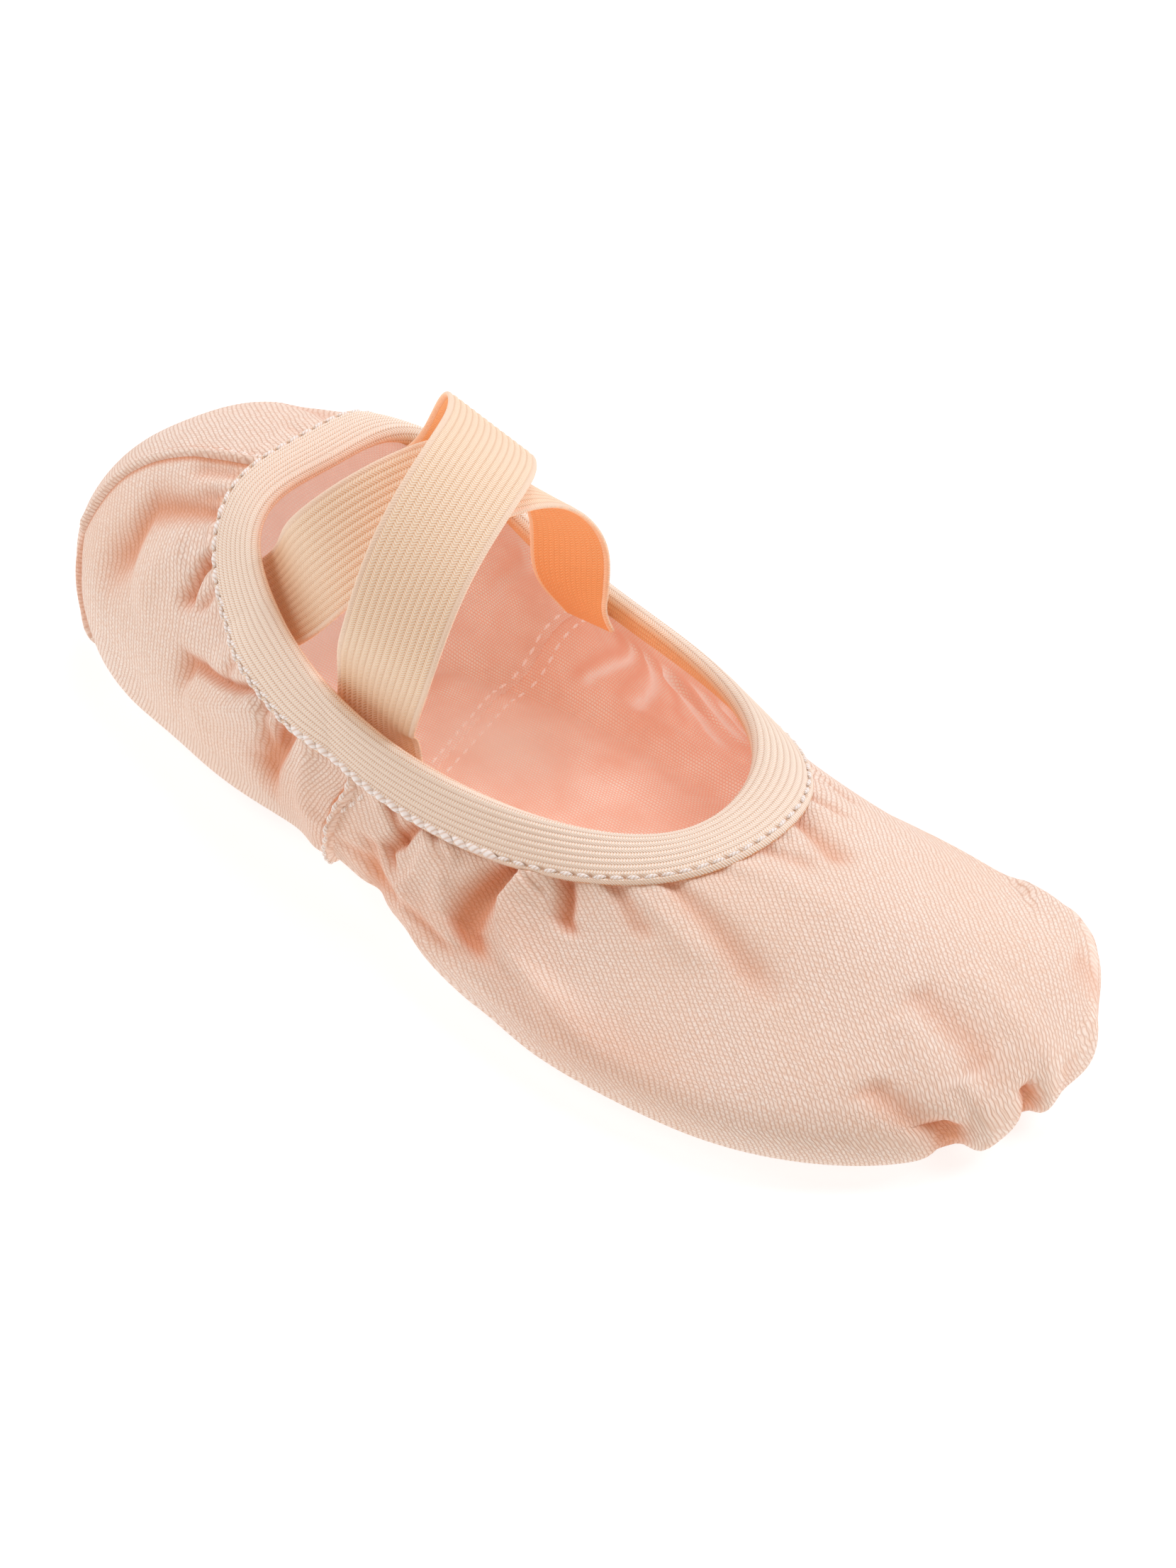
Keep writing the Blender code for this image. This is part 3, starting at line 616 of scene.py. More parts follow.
# %% Colours and nodes
def colour(hex_value):
    """An sRGB hex value as the linear colour that the shader wants."""
    parts = [int(hex_value[place : place + 2], 16) / 255 for place in (1, 3, 5)]
    return [part / 12.92 if part <= 0.04045 else ((part + 0.055) / 1.055) ** 2.4 for part in parts] + [1.0]


def feed(tree, node, links):
    """Gives each named input of a node a value, or the output that feeds it."""
    for name, value in links.items():
        if isinstance(value, bpy.types.NodeSocket):
            tree.links.new(value, node.inputs[name])
        else:
            node.inputs[name].default_value = value


def add(tree, kind, links=None, **settings):
    """Adds a node with its settings and feeds its inputs."""
    made = tree.nodes.new(kind)
    for name, value in settings.items():
        setattr(made, name, value)
    feed(tree, made, links or {})
    return made


# %% Short ways to add a node
def calc(tree, operation, *values):
    """The result of an operation on up to three values."""
    return add(tree, "ShaderNodeMath", dict(enumerate(values)), operation=operation).outputs[0]


def noise(tree, place, scale, detail):
    """Soft patches, between 0 and 1."""
    links = {"Vector": place, "Scale": scale, "Detail": detail}
    return add(tree, "ShaderNodeTexNoise", links).outputs[0]


def mapped(tree, value, start, end, to_start=0.0, to_end=1.0, easing="LINEAR"):
    """A value carried from one range to another, and held at both ends."""
    links = {"Value": value, "From Min": start, "From Max": end, "To Min": to_start, "To Max": to_end}
    return add(tree, "ShaderNodeMapRange", links, interpolation_type=easing).outputs[0]


def mixed(tree, share, first, second, blend_type="MIX"):
    """The first colour with a share of the second: each is a hex value or a node's output."""
    first, second = [colour(part) if isinstance(part, str) else part for part in (first, second)]
    links = {"Factor": share, "A": first, "B": second}
    made = add(tree, "ShaderNodeMix", links, data_type="RGBA", blend_type=blend_type)
    return made.outputs["Result"]


def mark(tree, name):
    """The strength of one of the marks on a mesh."""
    return add(tree, "ShaderNodeAttribute", attribute_name=name).outputs["Fac"]


def bumped(tree, height, strength, distance, invert=False):
    """The normals of a face whose height varies by a distance in mm."""
    links = {"Height": height, "Strength": strength, "Distance": distance * MM}
    return add(tree, "ShaderNodeBump", links, invert=invert).outputs[0]


def read_map(tree, uv_map):
    """A UV map, and its U and V apart."""
    whole = add(tree, "ShaderNodeUVMap", uv_map=uv_map).outputs[0]
    parts = add(tree, "ShaderNodeSeparateXYZ", {0: whole}).outputs
    return whole, parts[0], parts[1]


# %% A new material
def new_material(name, shown_as):
    """A material with an empty tree but for its shader and output."""
    made = bpy.data.materials.new(name)
    made.use_nodes = True
    made.diffuse_color = colour(shown_as)
    tree = made.node_tree
    tree.nodes.clear()
    shader = add(tree, "ShaderNodeBsdfPrincipled")
    add(tree, "ShaderNodeOutputMaterial", {"Surface": shader.outputs[0]})
    return made, tree, shader


# %% Canvas
TWILL_PITCH = 0.74  # between the twill's lines
HEEL_PITCH = 0.76
LOOP_LENGTH = 0.66  # of one loop of yarn along a line
LOOP_SWAY = 0.05  # how far a line sways with each loop
LINE_SHADOW = 0.21  # reach of the shadow on either side of a line
JOINT_SHADOW = 0.20  # and between two loops
CANVAS_PALE = "#FFF5EC"
CANVAS_YARN = "#FAE4D4"
CANVAS_WARM = "#F5CDB0"
CANVAS_GAP = "#C98A60"
# the next colour is the painted shade of creases and of the lines beside the seams
CANVAS_PAINTED_SHADE = "#E08C58"


def canvas_material(name, twill_pitch):
    """Stretch canvas: pale loops of yarn in rows, with a thin warm shadow winding between the rows."""
    made, tree, shader = new_material(name, "#F0D2C0")
    cloth, over_lines, up_line = read_map(tree, CLOTH_MAP)
    slack = calc(tree, "MULTIPLY_ADD", noise(tree, cloth, 0.30, 2.0), 0.7, over_lines)
    loop_wave = calc(tree, "SINE", calc(tree, "MULTIPLY", up_line, TURN / LOOP_LENGTH))
    across = calc(tree, "MULTIPLY_ADD", loop_wave, LOOP_SWAY, slack)
    from_line = calc(tree, "PINGPONG", across, twill_pitch / 2)
    line = mapped(tree, from_line, 0.0, LINE_SHADOW, 1.0, 0.0, "SMOOTHSTEP")
    uneven = calc(tree, "MULTIPLY_ADD", noise(tree, cloth, 1.7, 1.0), 0.9, up_line)
    slant = calc(tree, "MULTIPLY_ADD", across, 0.5, uneven)
    from_joint = calc(tree, "PINGPONG", slant, LOOP_LENGTH / 2)
    joint = mapped(tree, from_joint, 0.0, JOINT_SHADOW, 0.55, 0.0, "SMOOTHSTEP")
    gap = calc(tree, "MAXIMUM", line, joint)
    fleck = mapped(tree, noise(tree, cloth, 1.3, 4.0), 0.3, 0.7)
    yarn = mixed(tree, fleck, CANVAS_YARN, CANVAS_PALE)
    woven = mixed(tree, calc(tree, "MULTIPLY", gap, 0.5), yarn, CANVAS_GAP)
    patches = mapped(tree, noise(tree, cloth, 0.03, 3.0), 0.35, 0.65, 0.0, 0.25)
    tinted = mixed(tree, patches, woven, CANVAS_WARM)
    # painted shade: the hollow mark darkens the cloth in creases, in the painted shade spots and beside the
    # seams
    deep = mapped(tree, mark(tree, "hollow"), 0.0, 1.0, 0.0, 0.75)
    feed(tree, shader, {
        "Base Color": mixed(tree, deep, tinted, CANVAS_PAINTED_SHADE),
        "Normal": bumped(tree, gap, 0.6, 0.2, invert=True),
        "Roughness": 0.9,
        "Sheen Weight": 0.15,
        "Specular IOR Level": 0.2,
    })
    return made


VAMP_CANVAS = canvas_material("stretch_canvas_vamp", TWILL_PITCH)
HEEL_CANVAS = canvas_material("stretch_canvas_heel", HEEL_PITCH)

# %% Elastic
KNIT_PITCH = 0.55  # between stitches along a rib
GROOVE_REACH = 0.30  # from the middle of the groove between two ribs
INNER_TINT = "#FFD3A8"  # painted light: the inner face is tinted warm for the light that comes through the elastic
LIP_TONE = "#F9E2CC"
LIP_EASE = 0.1


def elastic_material(name, rib_pitch, first_rib, tones, lip_width, painted_glow):
    """Elastic: knitted ribs along its length, with a row of small holes between two ribs."""
    pale, deep, hole = tones
    made, tree, shader = new_material(name, pale)
    _, lengthwise, sideways = read_map(tree, CLOTH_MAP)
    from_first = calc(tree, "SUBTRACT", sideways, first_rib)
    from_groove = calc(tree, "PINGPONG", from_first, rib_pitch / 2)
    chevron = calc(tree, "MULTIPLY_ADD", from_groove, 0.8, lengthwise)
    from_stitch = calc(tree, "PINGPONG", chevron, KNIT_PITCH / 2)
    loop = mapped(tree, from_stitch, 0.0, KNIT_PITCH / 2, easing="SMOOTHSTEP")  # 1 at a loop's middle
    groove = mapped(tree, from_groove, 0.0, GROOVE_REACH, 1.0, 0.0, "SMOOTHSTEP")
    holes = calc(tree, "MULTIPLY", groove, mapped(tree, loop, 0.0, 0.7, 1.0, 0.35))
    # the hollow mark is painted shade: in the band's needle holes and near the straps' ends
    dark = calc(tree, "MAXIMUM", calc(tree, "MULTIPLY", holes, 0.55), mark(tree, "hollow"))
    pitted = mixed(tree, dark, mixed(tree, loop, deep, pale), hole)
    inside = mark(tree, "inner")
    warmed = mixed(tree, inside, pitted, INNER_TINT, "MULTIPLY")
    from_middle = calc(tree, "ABSOLUTE", calc(tree, "SUBTRACT", sideways, STRAP_WIDTH / 2))
    lip_start = STRAP_WIDTH / 2 - lip_width
    lip = mapped(tree, from_middle, lip_start - LIP_EASE, lip_start + LIP_EASE, 0.0, 0.8 * (lip_width > 0))
    feed(tree, shader, {
        "Base Color": mixed(tree, lip, warmed, LIP_TONE),
        "Normal": bumped(tree, calc(tree, "SUBTRACT", loop, holes), 0.5, 0.15),
        # painted glow: the inner face gives off light in its warmed colour
        "Emission Color": mixed(tree, inside, "#000000", warmed),
        "Emission Strength": painted_glow,
        "Roughness": 0.85,
        "Specular IOR Level": 0.25,
    })
    return made


RIB_PITCH = 1.38
STRAP_LIP = 1.1
STRAP_RIBS = 13
STRAP_PITCH = (STRAP_WIDTH - 2 * STRAP_LIP) / STRAP_RIBS
COLLAR_TONES = ("#FFFAF2", "#F6DABF", "#C68B5A")  # of the ribs, between the loops and in the holes
STRAP_TONES = ("#FFF4E4", "#F3CFA8", "#DEA066")
COLLAR_ELASTIC = elastic_material("knitted_collar_elastic", RIB_PITCH, 0.0, COLLAR_TONES, 0.0, 0.08)
STRAP_ELASTIC = elastic_material("woven_strap_elastic", STRAP_PITCH, STRAP_LIP, STRAP_TONES, STRAP_LIP, 0.22)

# %% Cotton
COTTON_PAINTED_SHADE = "#F0B69C"
COTTON_PAINTED_LIGHT = "#FFFAF8"
MARK_SHARE = 0.65  # how much of the painted shade or light a mark brings
THREAD_PITCH = 0.62
ROW_PITCH = 0.55


def cotton_material(name, pale, deep):
    """Brushed cotton lining: a fine plain weave of tiny holes, soft and slightly satiny."""
    made, tree, shader = new_material(name, pale)
    cloth = add(tree, "ShaderNodeUVMap", uv_map=CLOTH_MAP).outputs[0]
    weave = add(tree, "ShaderNodeTexBrick", {
        "Vector": cloth,
        "Color1": colour(pale),
        "Color2": colour(pale),
        "Mortar": colour(deep),
        "Scale": 1.0,
        "Mortar Size": 0.14,
        "Mortar Smooth": 1.0,
        "Brick Width": THREAD_PITCH,
        "Row Height": ROW_PITCH,
    }, offset=0.5)
    patches = mapped(tree, noise(tree, cloth, 0.09, 5.0), 0.35, 0.65, 0.0, 0.6)
    toned = mixed(tree, patches, weave.outputs[0], deep)
    # the marks bring painted shade into wrinkle troughs and painted light onto crests, the lit floor and the
    # heel
    for mark_name, tone in (("hollow", COTTON_PAINTED_SHADE), ("crest", COTTON_PAINTED_LIGHT)):
        toned = mixed(tree, calc(tree, "MULTIPLY", mark(tree, mark_name), MARK_SHARE), toned, tone)
    feed(tree, shader, {
        "Base Color": toned,
        "Normal": bumped(tree, weave.outputs["Fac"], 0.3, 0.12, invert=True),
        # painted glow: the lining gives off a little light in its own colour, for light that comes through
        # the cloth
        "Emission Color": toned,
        "Emission Strength": 0.13,
        "Roughness": 0.7,
        "Sheen Weight": 0.2,
    })
    return made


FRONT_COTTON = cotton_material("cotton_lining_front", "#FFEDE2", "#F0B79C")
HEEL_COTTON = cotton_material("cotton_lining_heel", "#FFF4EC", "#EDBBA4")

# %% Suede and thread
PLY_MAP = "ply_turns"
PLIES = 2.0
PLY_TURNS = 5.0  # windings of the plies along one stitch


def suede_material():
    """Split suede: a short nap that scatters light, darker where it is brushed the other way."""
    made, tree, shader = new_material("split_suede", "#D0AC97")
    place = add(tree, "ShaderNodeTexCoord").outputs["Object"]
    feed(tree, shader, {
        "Base Color": mixed(tree, noise(tree, place, 60.0, 4.0), "#B98F78", "#DDBCA8"),
        "Normal": bumped(tree, noise(tree, place, 1600.0, 3.0), 0.6, 0.3),
        "Roughness": 0.95,
        "Sheen Weight": 0.4,
    })
    return made


def thread_material(name, pale, deep, painted_glow=0.0):
    """Twisted polyester thread: nearly white, with a fine shadow along each turn of its plies."""
    made, tree, shader = new_material(name, pale)
    _, round_thread, along_thread = read_map(tree, PLY_MAP)
    lengthwise = calc(tree, "MULTIPLY", along_thread, PLY_TURNS)
    winding = calc(tree, "MULTIPLY_ADD", round_thread, PLIES, lengthwise)
    ply = mapped(tree, calc(tree, "PINGPONG", winding, 0.5), 0.0, 0.3, easing="SMOOTHSTEP")
    feed(tree, shader, {
        "Base Color": mixed(tree, ply, deep, pale),
        "Normal": bumped(tree, ply, 0.6, 0.15),
        "Emission Color": colour(pale),
        "Emission Strength": painted_glow,
        "Roughness": 0.55,
        "Sheen Weight": 0.2,
    })
    return made


SUEDE_FINISH = suede_material()
WHITE_THREAD = thread_material("white_thread", "#FFFDFB", "#F0DBCC")
CANVAS_THREAD = thread_material("canvas_thread", "#FFF8F2", "#F0D3C0")
# the lining thread has a painted glow, so that it stays pale in the shade inside
LINING_THREAD = thread_material("lining_thread", "#FFF1EA", "#F1D0C1", painted_glow=0.20)
print(len(bpy.data.materials), "materials")

# %% [markdown]
# ## The canvas panels
#
# The upper is cut in three: one panel over the toes from side seam to side seam, and two round the
# heel. Each one is wrapped over the last under the band, down the side and in under the foot. Under the
# arch, where there is no sole, the canvas goes on to the middle line and closes the slipper.

# %% Rows of the panels
PANEL_TOP = 0.09  # depth of the top edge, hidden under the band
CANVAS = 0.7  # thickness of the canvas alone
ROW_DEPTHS = np.concatenate([
    np.linspace(PANEL_TOP, AT_BAND, 6)[:-1],
    np.linspace(AT_BAND, AT_WIDEST, 84)[:-1],
    np.linspace(AT_WIDEST, AT_FLOOR, 20)[:-1],
    np.linspace(AT_FLOOR, AT_MARGIN, 4)[:-1],
    np.linspace(AT_MARGIN, AT_MIDDLE, 7),
])
EASING = 0.0050  # how far, in depth squared, the cloth is eased over the widest line
EASED_REACH = 0.16  # in depth, above and below that line
BARE_FROM, BARE_TO = -1.5, 0.0  # mm below the band between which the creases come out from under it
CALM_FROM = 0.92  # depth from which the creases die away before the floor line
OVER_FLOOR = 0.1  # the canvas goes no lower than this


# %% The face of the canvas
def ease_edge(points, depths):
    """Rounds the cloth over the widest line, where the last turns down."""
    near = int(np.abs(depths - AT_WIDEST).argmin())
    passes = int(EASING / (depths[near] - depths[near - 1]) ** 2)
    pull = 0.5 * np.exp(-(((depths[1:-1] - AT_WIDEST) / EASED_REACH) ** 4))[:, None, None]
    points = points.copy()
    for _ in range(passes):
        points[1:-1] += pull * ((points[:-2] + points[2:]) / 2 - points[1:-1])
    return points


def creased(turns, depths):
    """The canvas's face with its creases: points, distances below the band, normals, painted shade."""
    turns = wandered(turns, depths)
    points, below, normals = canvas_sheet(turns, depths)
    points = ease_edge(points, depths)
    around = np.gradient(points, axis=1)
    turn_step = np.maximum(np.abs(np.gradient(turns, axis=1)), 1e-6)
    below = below + narrowed(turns) * BAND_WIDTH
    out, sideways, hollow = crease_moves(turns, below, np.linalg.norm(around, axis=2) / turn_step)
    free = ramp(below, BARE_FROM, BARE_TO) * ramp(depths, AT_FLOOR, CALM_FROM)[:, None]
    moved = points + normals * (out * free)[..., None] + unit(around) * (sideways * free)[..., None]
    moved[..., 2] = np.maximum(moved[..., 2], OVER_FLOOR)
    return moved, below, normals, hollow


# %% The edges of the panels
WELT_WIDTH = 2.1
WELT_HEIGHT = 1.25
LAP = 0.002  # turns by which the upper panel reaches past the seam
UNDERLAP = 0.007  # and the lower panel below it
OPEN_DIP, OPEN_REACH = 0.45, 0.25  # how far the welt dips at its open edge, and how wide that is
SEWN_DIP, SEWN_REACH = 0.35, 0.45  # and at its sewn side
LINE_SHADE, LINE_REACH = 0.8, 0.5  # how dark and how wide the painted shade line beside the welt is
SUNK = 0.1  # how far the lower panel's face sinks beside the seam
SUNK_UNDER_FOOT = 0.35
SINKS = (4.0, 2.4)  # mm from its edge between which it sinks
DARKENS = (4.0, 2.2)  # and between which it gets painted shade
SHOWS = (0.15, 0.18)  # depths between which the welt comes out from under the band
TURNS_IN = (0.93, 1.0)  # and between which it flattens as it goes under the foot


def even_but_fine_at_ends(first, last, count):
    """Even steps, but finer ones near both ends, where a panel's edge is folded."""
    share = np.linspace(0, 1, count)
    return between(first, last, share - 0.4 / TURN * np.sin(TURN * share))


def edge_shape(points, normals, over_first, over_last):
    """Folds a panel's upper edges into a welt, and lets its lower ones sink under the neighbour's; also
    gives the painted shade beside the welt and on the sunk edge.
    """
    from_first = run_of(points)
    rise, tucked = np.zeros(points.shape[:2]), np.zeros(points.shape[:2])
    for reach, over in ((from_first, over_first), (from_first[:, -1:] - from_first, over_last)):
        if over:
            across = 2 * np.clip(reach / WELT_WIDTH, 0, 1) - 1
            rise += WELT_HEIGHT * np.sqrt(1 - across**2)
            rise -= OPEN_DIP * bell(reach, 0.0, OPEN_REACH) + SEWN_DIP * bell(reach, WELT_WIDTH, SEWN_REACH)
            tucked = np.maximum(tucked, LINE_SHADE * bell(reach, WELT_WIDTH + 0.1, LINE_REACH))
        else:
            rise -= SUNK * ramp(reach, *SINKS)
            tucked = np.maximum(tucked, ramp(reach, *DARKENS))
    under_foot = ramp(ROW_DEPTHS, *TURNS_IN)[:, None]
    show = ramp(ROW_DEPTHS, *SHOWS)[:, None] * (1 - under_foot)
    rise = rise * show - SUNK_UNDER_FOOT * tucked * under_foot
    return points + normals * rise[..., None], tucked * show


# %% Cutting the panels
ACROSS_VAMP = np.array([0.81, -0.47, 0.36])  # across the twill of each panel, as the cloth was cut
ACROSS_OUTER_HEEL = np.array([0.64, -0.76, -0.11])
ACROSS_INNER_HEEL = np.array([0.72, -0.25, 0.64])
UPWARDS = np.array([0.0, 0.0, 1.0])
STEEP = (0.85, 0.40)  # upward part of the normal between which a side counts as steep
BIG_TOE_SIDE = (0.53, 0.61)  # turns between which the twill starts to follow the steep side


def make_panel(name, ends, over, columns, material, across, turn_down=0.0):
    """One panel of canvas between two turns, and the points and normals of its face."""
    first_turn = ends[0] - (LAP if over[0] else UNDERLAP)
    last_turn = ends[1] + (LAP if over[1] else UNDERLAP)
    turns = np.tile(even_but_fine_at_ends(first_turn, last_turn, columns), (len(ROW_DEPTHS), 1))
    plain, _, upright = canvas_sheet(turns, ROW_DEPTHS)
    steep = ramp(upright[..., 2:], *STEEP) * ramp(turns, *BIG_TOE_SIDE)[..., None]
    cloth = lay_weave(plain[::-1], (across - turn_down * steep * UPWARDS)[::-1])
    points, below, normals, hollow = creased(turns, ROW_DEPTHS)
    points, tucked = edge_shape(points, normals, *over)
    # the hollow mark carries painted shade: creases, spots and the lines beside the seams
    panel = wrap_grid(name, points[::-1], cloth, hollow=np.maximum(hollow, tucked)[::-1])
    alone(panel)
    trim_to_arch(panel, turns[::-1])
    thicken(panel, CANVAS)
    panel.data.materials.append(material)
    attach(panel, "root")
    print(name, len(panel.data.polygons), "faces")
    return panel, (points, normals, below)


# %% The three panels
def trim_to_arch(panel, turns):
    """Deletes the faces beyond the margin, except under the arch."""
    rows, columns = turns.shape
    beyond = int((ROW_DEPTHS > AT_MARGIN + 0.001).sum())
    middle = (turns[0, 1:] + turns[0, :-1]) / 2 % 1.0
    from_toe = np.minimum(middle, 1 - middle)
    open_column = (from_toe < ARCH_BACK) | (from_toe > ARCH_FRONT)
    doomed = np.zeros((rows - 1, columns - 1), bool)
    doomed[:beyond] = open_column[None]
    bpy.ops.object.mode_set(mode="EDIT")
    bpy.ops.mesh.select_all(action="DESELECT")
    bpy.ops.mesh.select_mode(type="FACE")
    bpy.ops.object.mode_set(mode="OBJECT")
    panel.data.polygons.foreach_set("select", doomed.reshape(-1))
    bpy.ops.object.mode_set(mode="EDIT")
    bpy.ops.mesh.delete(type="FACE")
    bpy.ops.object.mode_set(mode="OBJECT")


vamp, vamp_face = make_panel(
    "vamp_panel", (OUTER_SEAM, INNER_SEAM), (False, False), 330, VAMP_CANVAS, ACROSS_VAMP, turn_down=1.5)
_, outer_face = make_panel(
    "outer_heel_panel", (HEEL_SEAM, OUTER_SEAM), (False, True), 210, HEEL_CANVAS, ACROSS_OUTER_HEEL)
_, inner_face = make_panel(
    "inner_heel_panel", (INNER_SEAM, 1 + HEEL_SEAM), (True, True), 260, HEEL_CANVAS, ACROSS_INNER_HEEL)
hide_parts("upper")

# %% [markdown]
# ## The lining
#
# Inside, the canvas is backed with brushed cotton, which also covers the padded insole. It is sewn in
# two parts, so a seam crosses the floor and climbs both walls. Each part here is one sheet that runs
# from the rim down one wall, over the pad and up the other wall, so that wall and floor meet softly.

# %% Lining
LINING_TOP = 0.075  # depth of the lining's edge, under the band
WALL_DEPTHS = np.concatenate([
    np.linspace(LINING_TOP, AT_WIDEST, 56)[:-1],
    np.linspace(AT_WIDEST, AT_FLOOR, 16),
])
FLOOR_ROWS = 34
PAD = CLEARANCE + INSOLE - 0.2  # height of the pad over the canvas, a little pressed
PAD_EDGE = 5.0  # mm over which the pad rises from the wall
COTTON = 0.4
LINING_SEAMS = (
    # depth, turn of the seam on the outer wall, turn on the inner wall
    (0.075, 0.262, 0.764),
    (0.40, 0.262, 0.770),
    (0.60, 0.261, 0.778),
    (0.82, 0.260, 0.781),
    (1.00, 0.259, 0.782),
)
LAP_HEIGHT = 0.3  # of the heel's part over the front one
WRINKLES = (
    # on the inner wall: height, (mm below the band, turn) pairs, half-width
    (-1.1, ((0, 0.742), (8, 0.748), (18, 0.760)), 1.6),
    (1.0, ((2, 0.735), (9, 0.742), (18, 0.755)), 1.5),
    (-1.1, ((0, 0.726), (7, 0.732), (16, 0.744)), 1.5),
    (1.1, ((1, 0.718), (9, 0.726), (18, 0.738)), 1.6),
    (-1.0, ((0, 0.708), (8, 0.714), (17, 0.726)), 1.5),
    (1.2, ((1, 0.700), (10, 0.706), (20, 0.716)), 1.8),
    (-1.0, ((0, 0.690), (9, 0.694), (18, 0.702)), 1.5),
    (1.0, ((1, 0.681), (10, 0.684)), 1.5),
    (-1.0, ((0, 0.672), (12, 0.672)), 1.5),
    (1.0, ((1, 0.662), (12, 0.660)), 1.6),
    (-0.9, ((0, 0.650), (10, 0.646)), 1.4),
    (0.8, ((2, 0.640), (10, 0.634)), 1.4),
    (-0.7, ((0, 0.628), (9, 0.620)), 1.3),
    (-0.6, ((3, 0.800), (12, 0.806)), 1.6),
    (0.6, ((4, 0.820), (14, 0.826)), 1.8),
)
WRINKLE_STARTS, WRINKLE_ENDS = 3, 6  # mm over which a wrinkle rises at its top and dies away below
WRINKLE_STANDS = 0.5  # how far out a wrinkle of height 1 stands; the rest shows as painted shade in its trough and painted highlight on its crest
CREASE_ROOM = 0.3  # how far the lining moves in behind a deep crease
HIDDEN_GAP = 2.0  # room between canvas and lining in the toe, out of sight
HIDDEN_TURNS = 0.11
EDGE_GAP = 0.9  # and at the widest line
EDGE_REACH = 0.12  # in depth
FLOOR_CROWD = 0.11  # how closely the floor's rows crowd at both walls
LIT_SPOT = (13.0, 24.0)  # where a painted pool of light on the floor is brightest
LIT_REACH = (12.0, 13.0)
LIT_FROM, LIT_TO = 42.0, 78.0  # distances towards the heel between which painted light makes it paler
HEEL_LIT = 0.9


# %% One wall of the lining
def wall_inside(turns, lift):
    """Rows of the lining's face down one wall."""
    points, below, normals, hollow = creased(turns, WALL_DEPTHS)
    round_step = np.linalg.norm(np.gradient(points, axis=1), axis=2) / np.abs(np.gradient(turns, axis=1))
    wave = np.zeros_like(below)
    for height, line, half_width in WRINKLES:
        places, line_turns = np.array(line).T
        away = (turns - np.interp(below, places, line_turns)) * round_step
        lasts = ramp(below, places[0] - WRINKLE_STARTS, places[0])
        lasts = lasts * ramp(below, places[-1] + WRINKLE_ENDS, places[-1])
        wave += height * bell(away, 0.0, half_width) * lasts
    rise = CANVAS_WALL + lift + WRINKLE_STANDS * np.maximum(wave, 0) + CREASE_ROOM * hollow
    rise = rise + HIDDEN_GAP * np.exp(-(((turns - 0.5) / HIDDEN_TURNS) ** 4))
    rise = rise + EDGE_GAP * bell(WALL_DEPTHS, AT_WIDEST, EDGE_REACH)[:, None]
    return points - normals * rise[..., None], wave


def make_lining(name, first, last, columns, lift, material):
    """A lining sheet between two rows of (outer turn, inner turn) by depth."""
    share = np.linspace(0, 1, columns)[None]
    outer, inner = [between(start[:, None], end[:, None], share) for start, end in zip(first, last)]
    outer_wall, outer_wave = wall_inside(outer, lift)
    inner_wall, inner_wave = [part[:, ::-1] for part in wall_inside(inner[:, ::-1], lift)]
    across = np.linspace(0, 1, FLOOR_ROWS + 2)[1:-1, None]
    across = across - FLOOR_CROWD * np.sin(TURN * across)
    floor = between(outer_wall[-1], inner_wall[-1], across[..., None])
    to_wall = np.minimum(across, 1 - across) * np.linalg.norm(outer_wall[-1] - inner_wall[-1], axis=1)
    floor[..., 2] += PAD * ramp(to_wall, 0.0, PAD_EDGE)
    points = np.concatenate([outer_wall, floor, inner_wall[::-1]])
    wave = np.concatenate([outer_wave, np.zeros((FLOOR_ROWS, columns)), inner_wave[::-1]])
    # painted light: a lit pool on the floor, and the heel growing paler towards its back
    from_lit = (points[..., :2] - LIT_SPOT) / LIT_REACH
    pale = np.exp(-(from_lit**2).sum(axis=2)) + HEEL_LIT * ramp(points[..., 1], LIT_FROM, LIT_TO)
    cloth = lay_weave(points, unit(np.gradient(points, axis=1)))
    # painted highlight on the wrinkles' crests, with the painted light above; painted shade in their troughs
    crest = np.clip(np.maximum(wave, pale), 0, 1)
    sheet = wrap_grid(name, points, cloth, hollow=np.clip(-wave, 0, 1), crest=crest)
    thicken(sheet, COTTON)
    sheet.data.materials.append(material)
    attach(sheet, "root")
    print(name, len(sheet.data.polygons), "faces")
    return sheet, points


# %% The two parts of the lining
def seam_turns(shift):
    """The lining's seam on both walls, moved some turns towards the toe."""
    depths, outer, inner = np.array(LINING_SEAMS).T
    return np.interp(WALL_DEPTHS, depths, outer) + shift, np.interp(WALL_DEPTHS, depths, inner) - shift


def end_turns(outer, inner):
    """A straight end of the lining on both walls."""
    return np.full(len(WALL_DEPTHS), outer), np.full(len(WALL_DEPTHS), inner)


LINING_LAP = 0.004
_, front_inside = make_lining(
    "front_lining", seam_turns(-LINING_LAP), end_turns(0.488, 0.512), 150, 0.0, FRONT_COTTON)
heel_lining, heel_inside = make_lining(
    "heel_lining", end_turns(0.012, 0.988), seam_turns(0), 130, LAP_HEIGHT, HEEL_COTTON)
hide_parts("insole")

# %% [markdown]
# ## The collar's band
#
# A wide knitted elastic is folded over the raw edge of the collar and sewn down, stretched, so that it
# pulls the canvas into gathers. It could be bevelled from a curve, but its width and its fold change
# round the opening, so it is a grid of rows: down the face, over the rim and a little way down inside.
# Its inner face is marked, so that the material can tint it warm and give it a painted glow there, for the
# light that comes through.

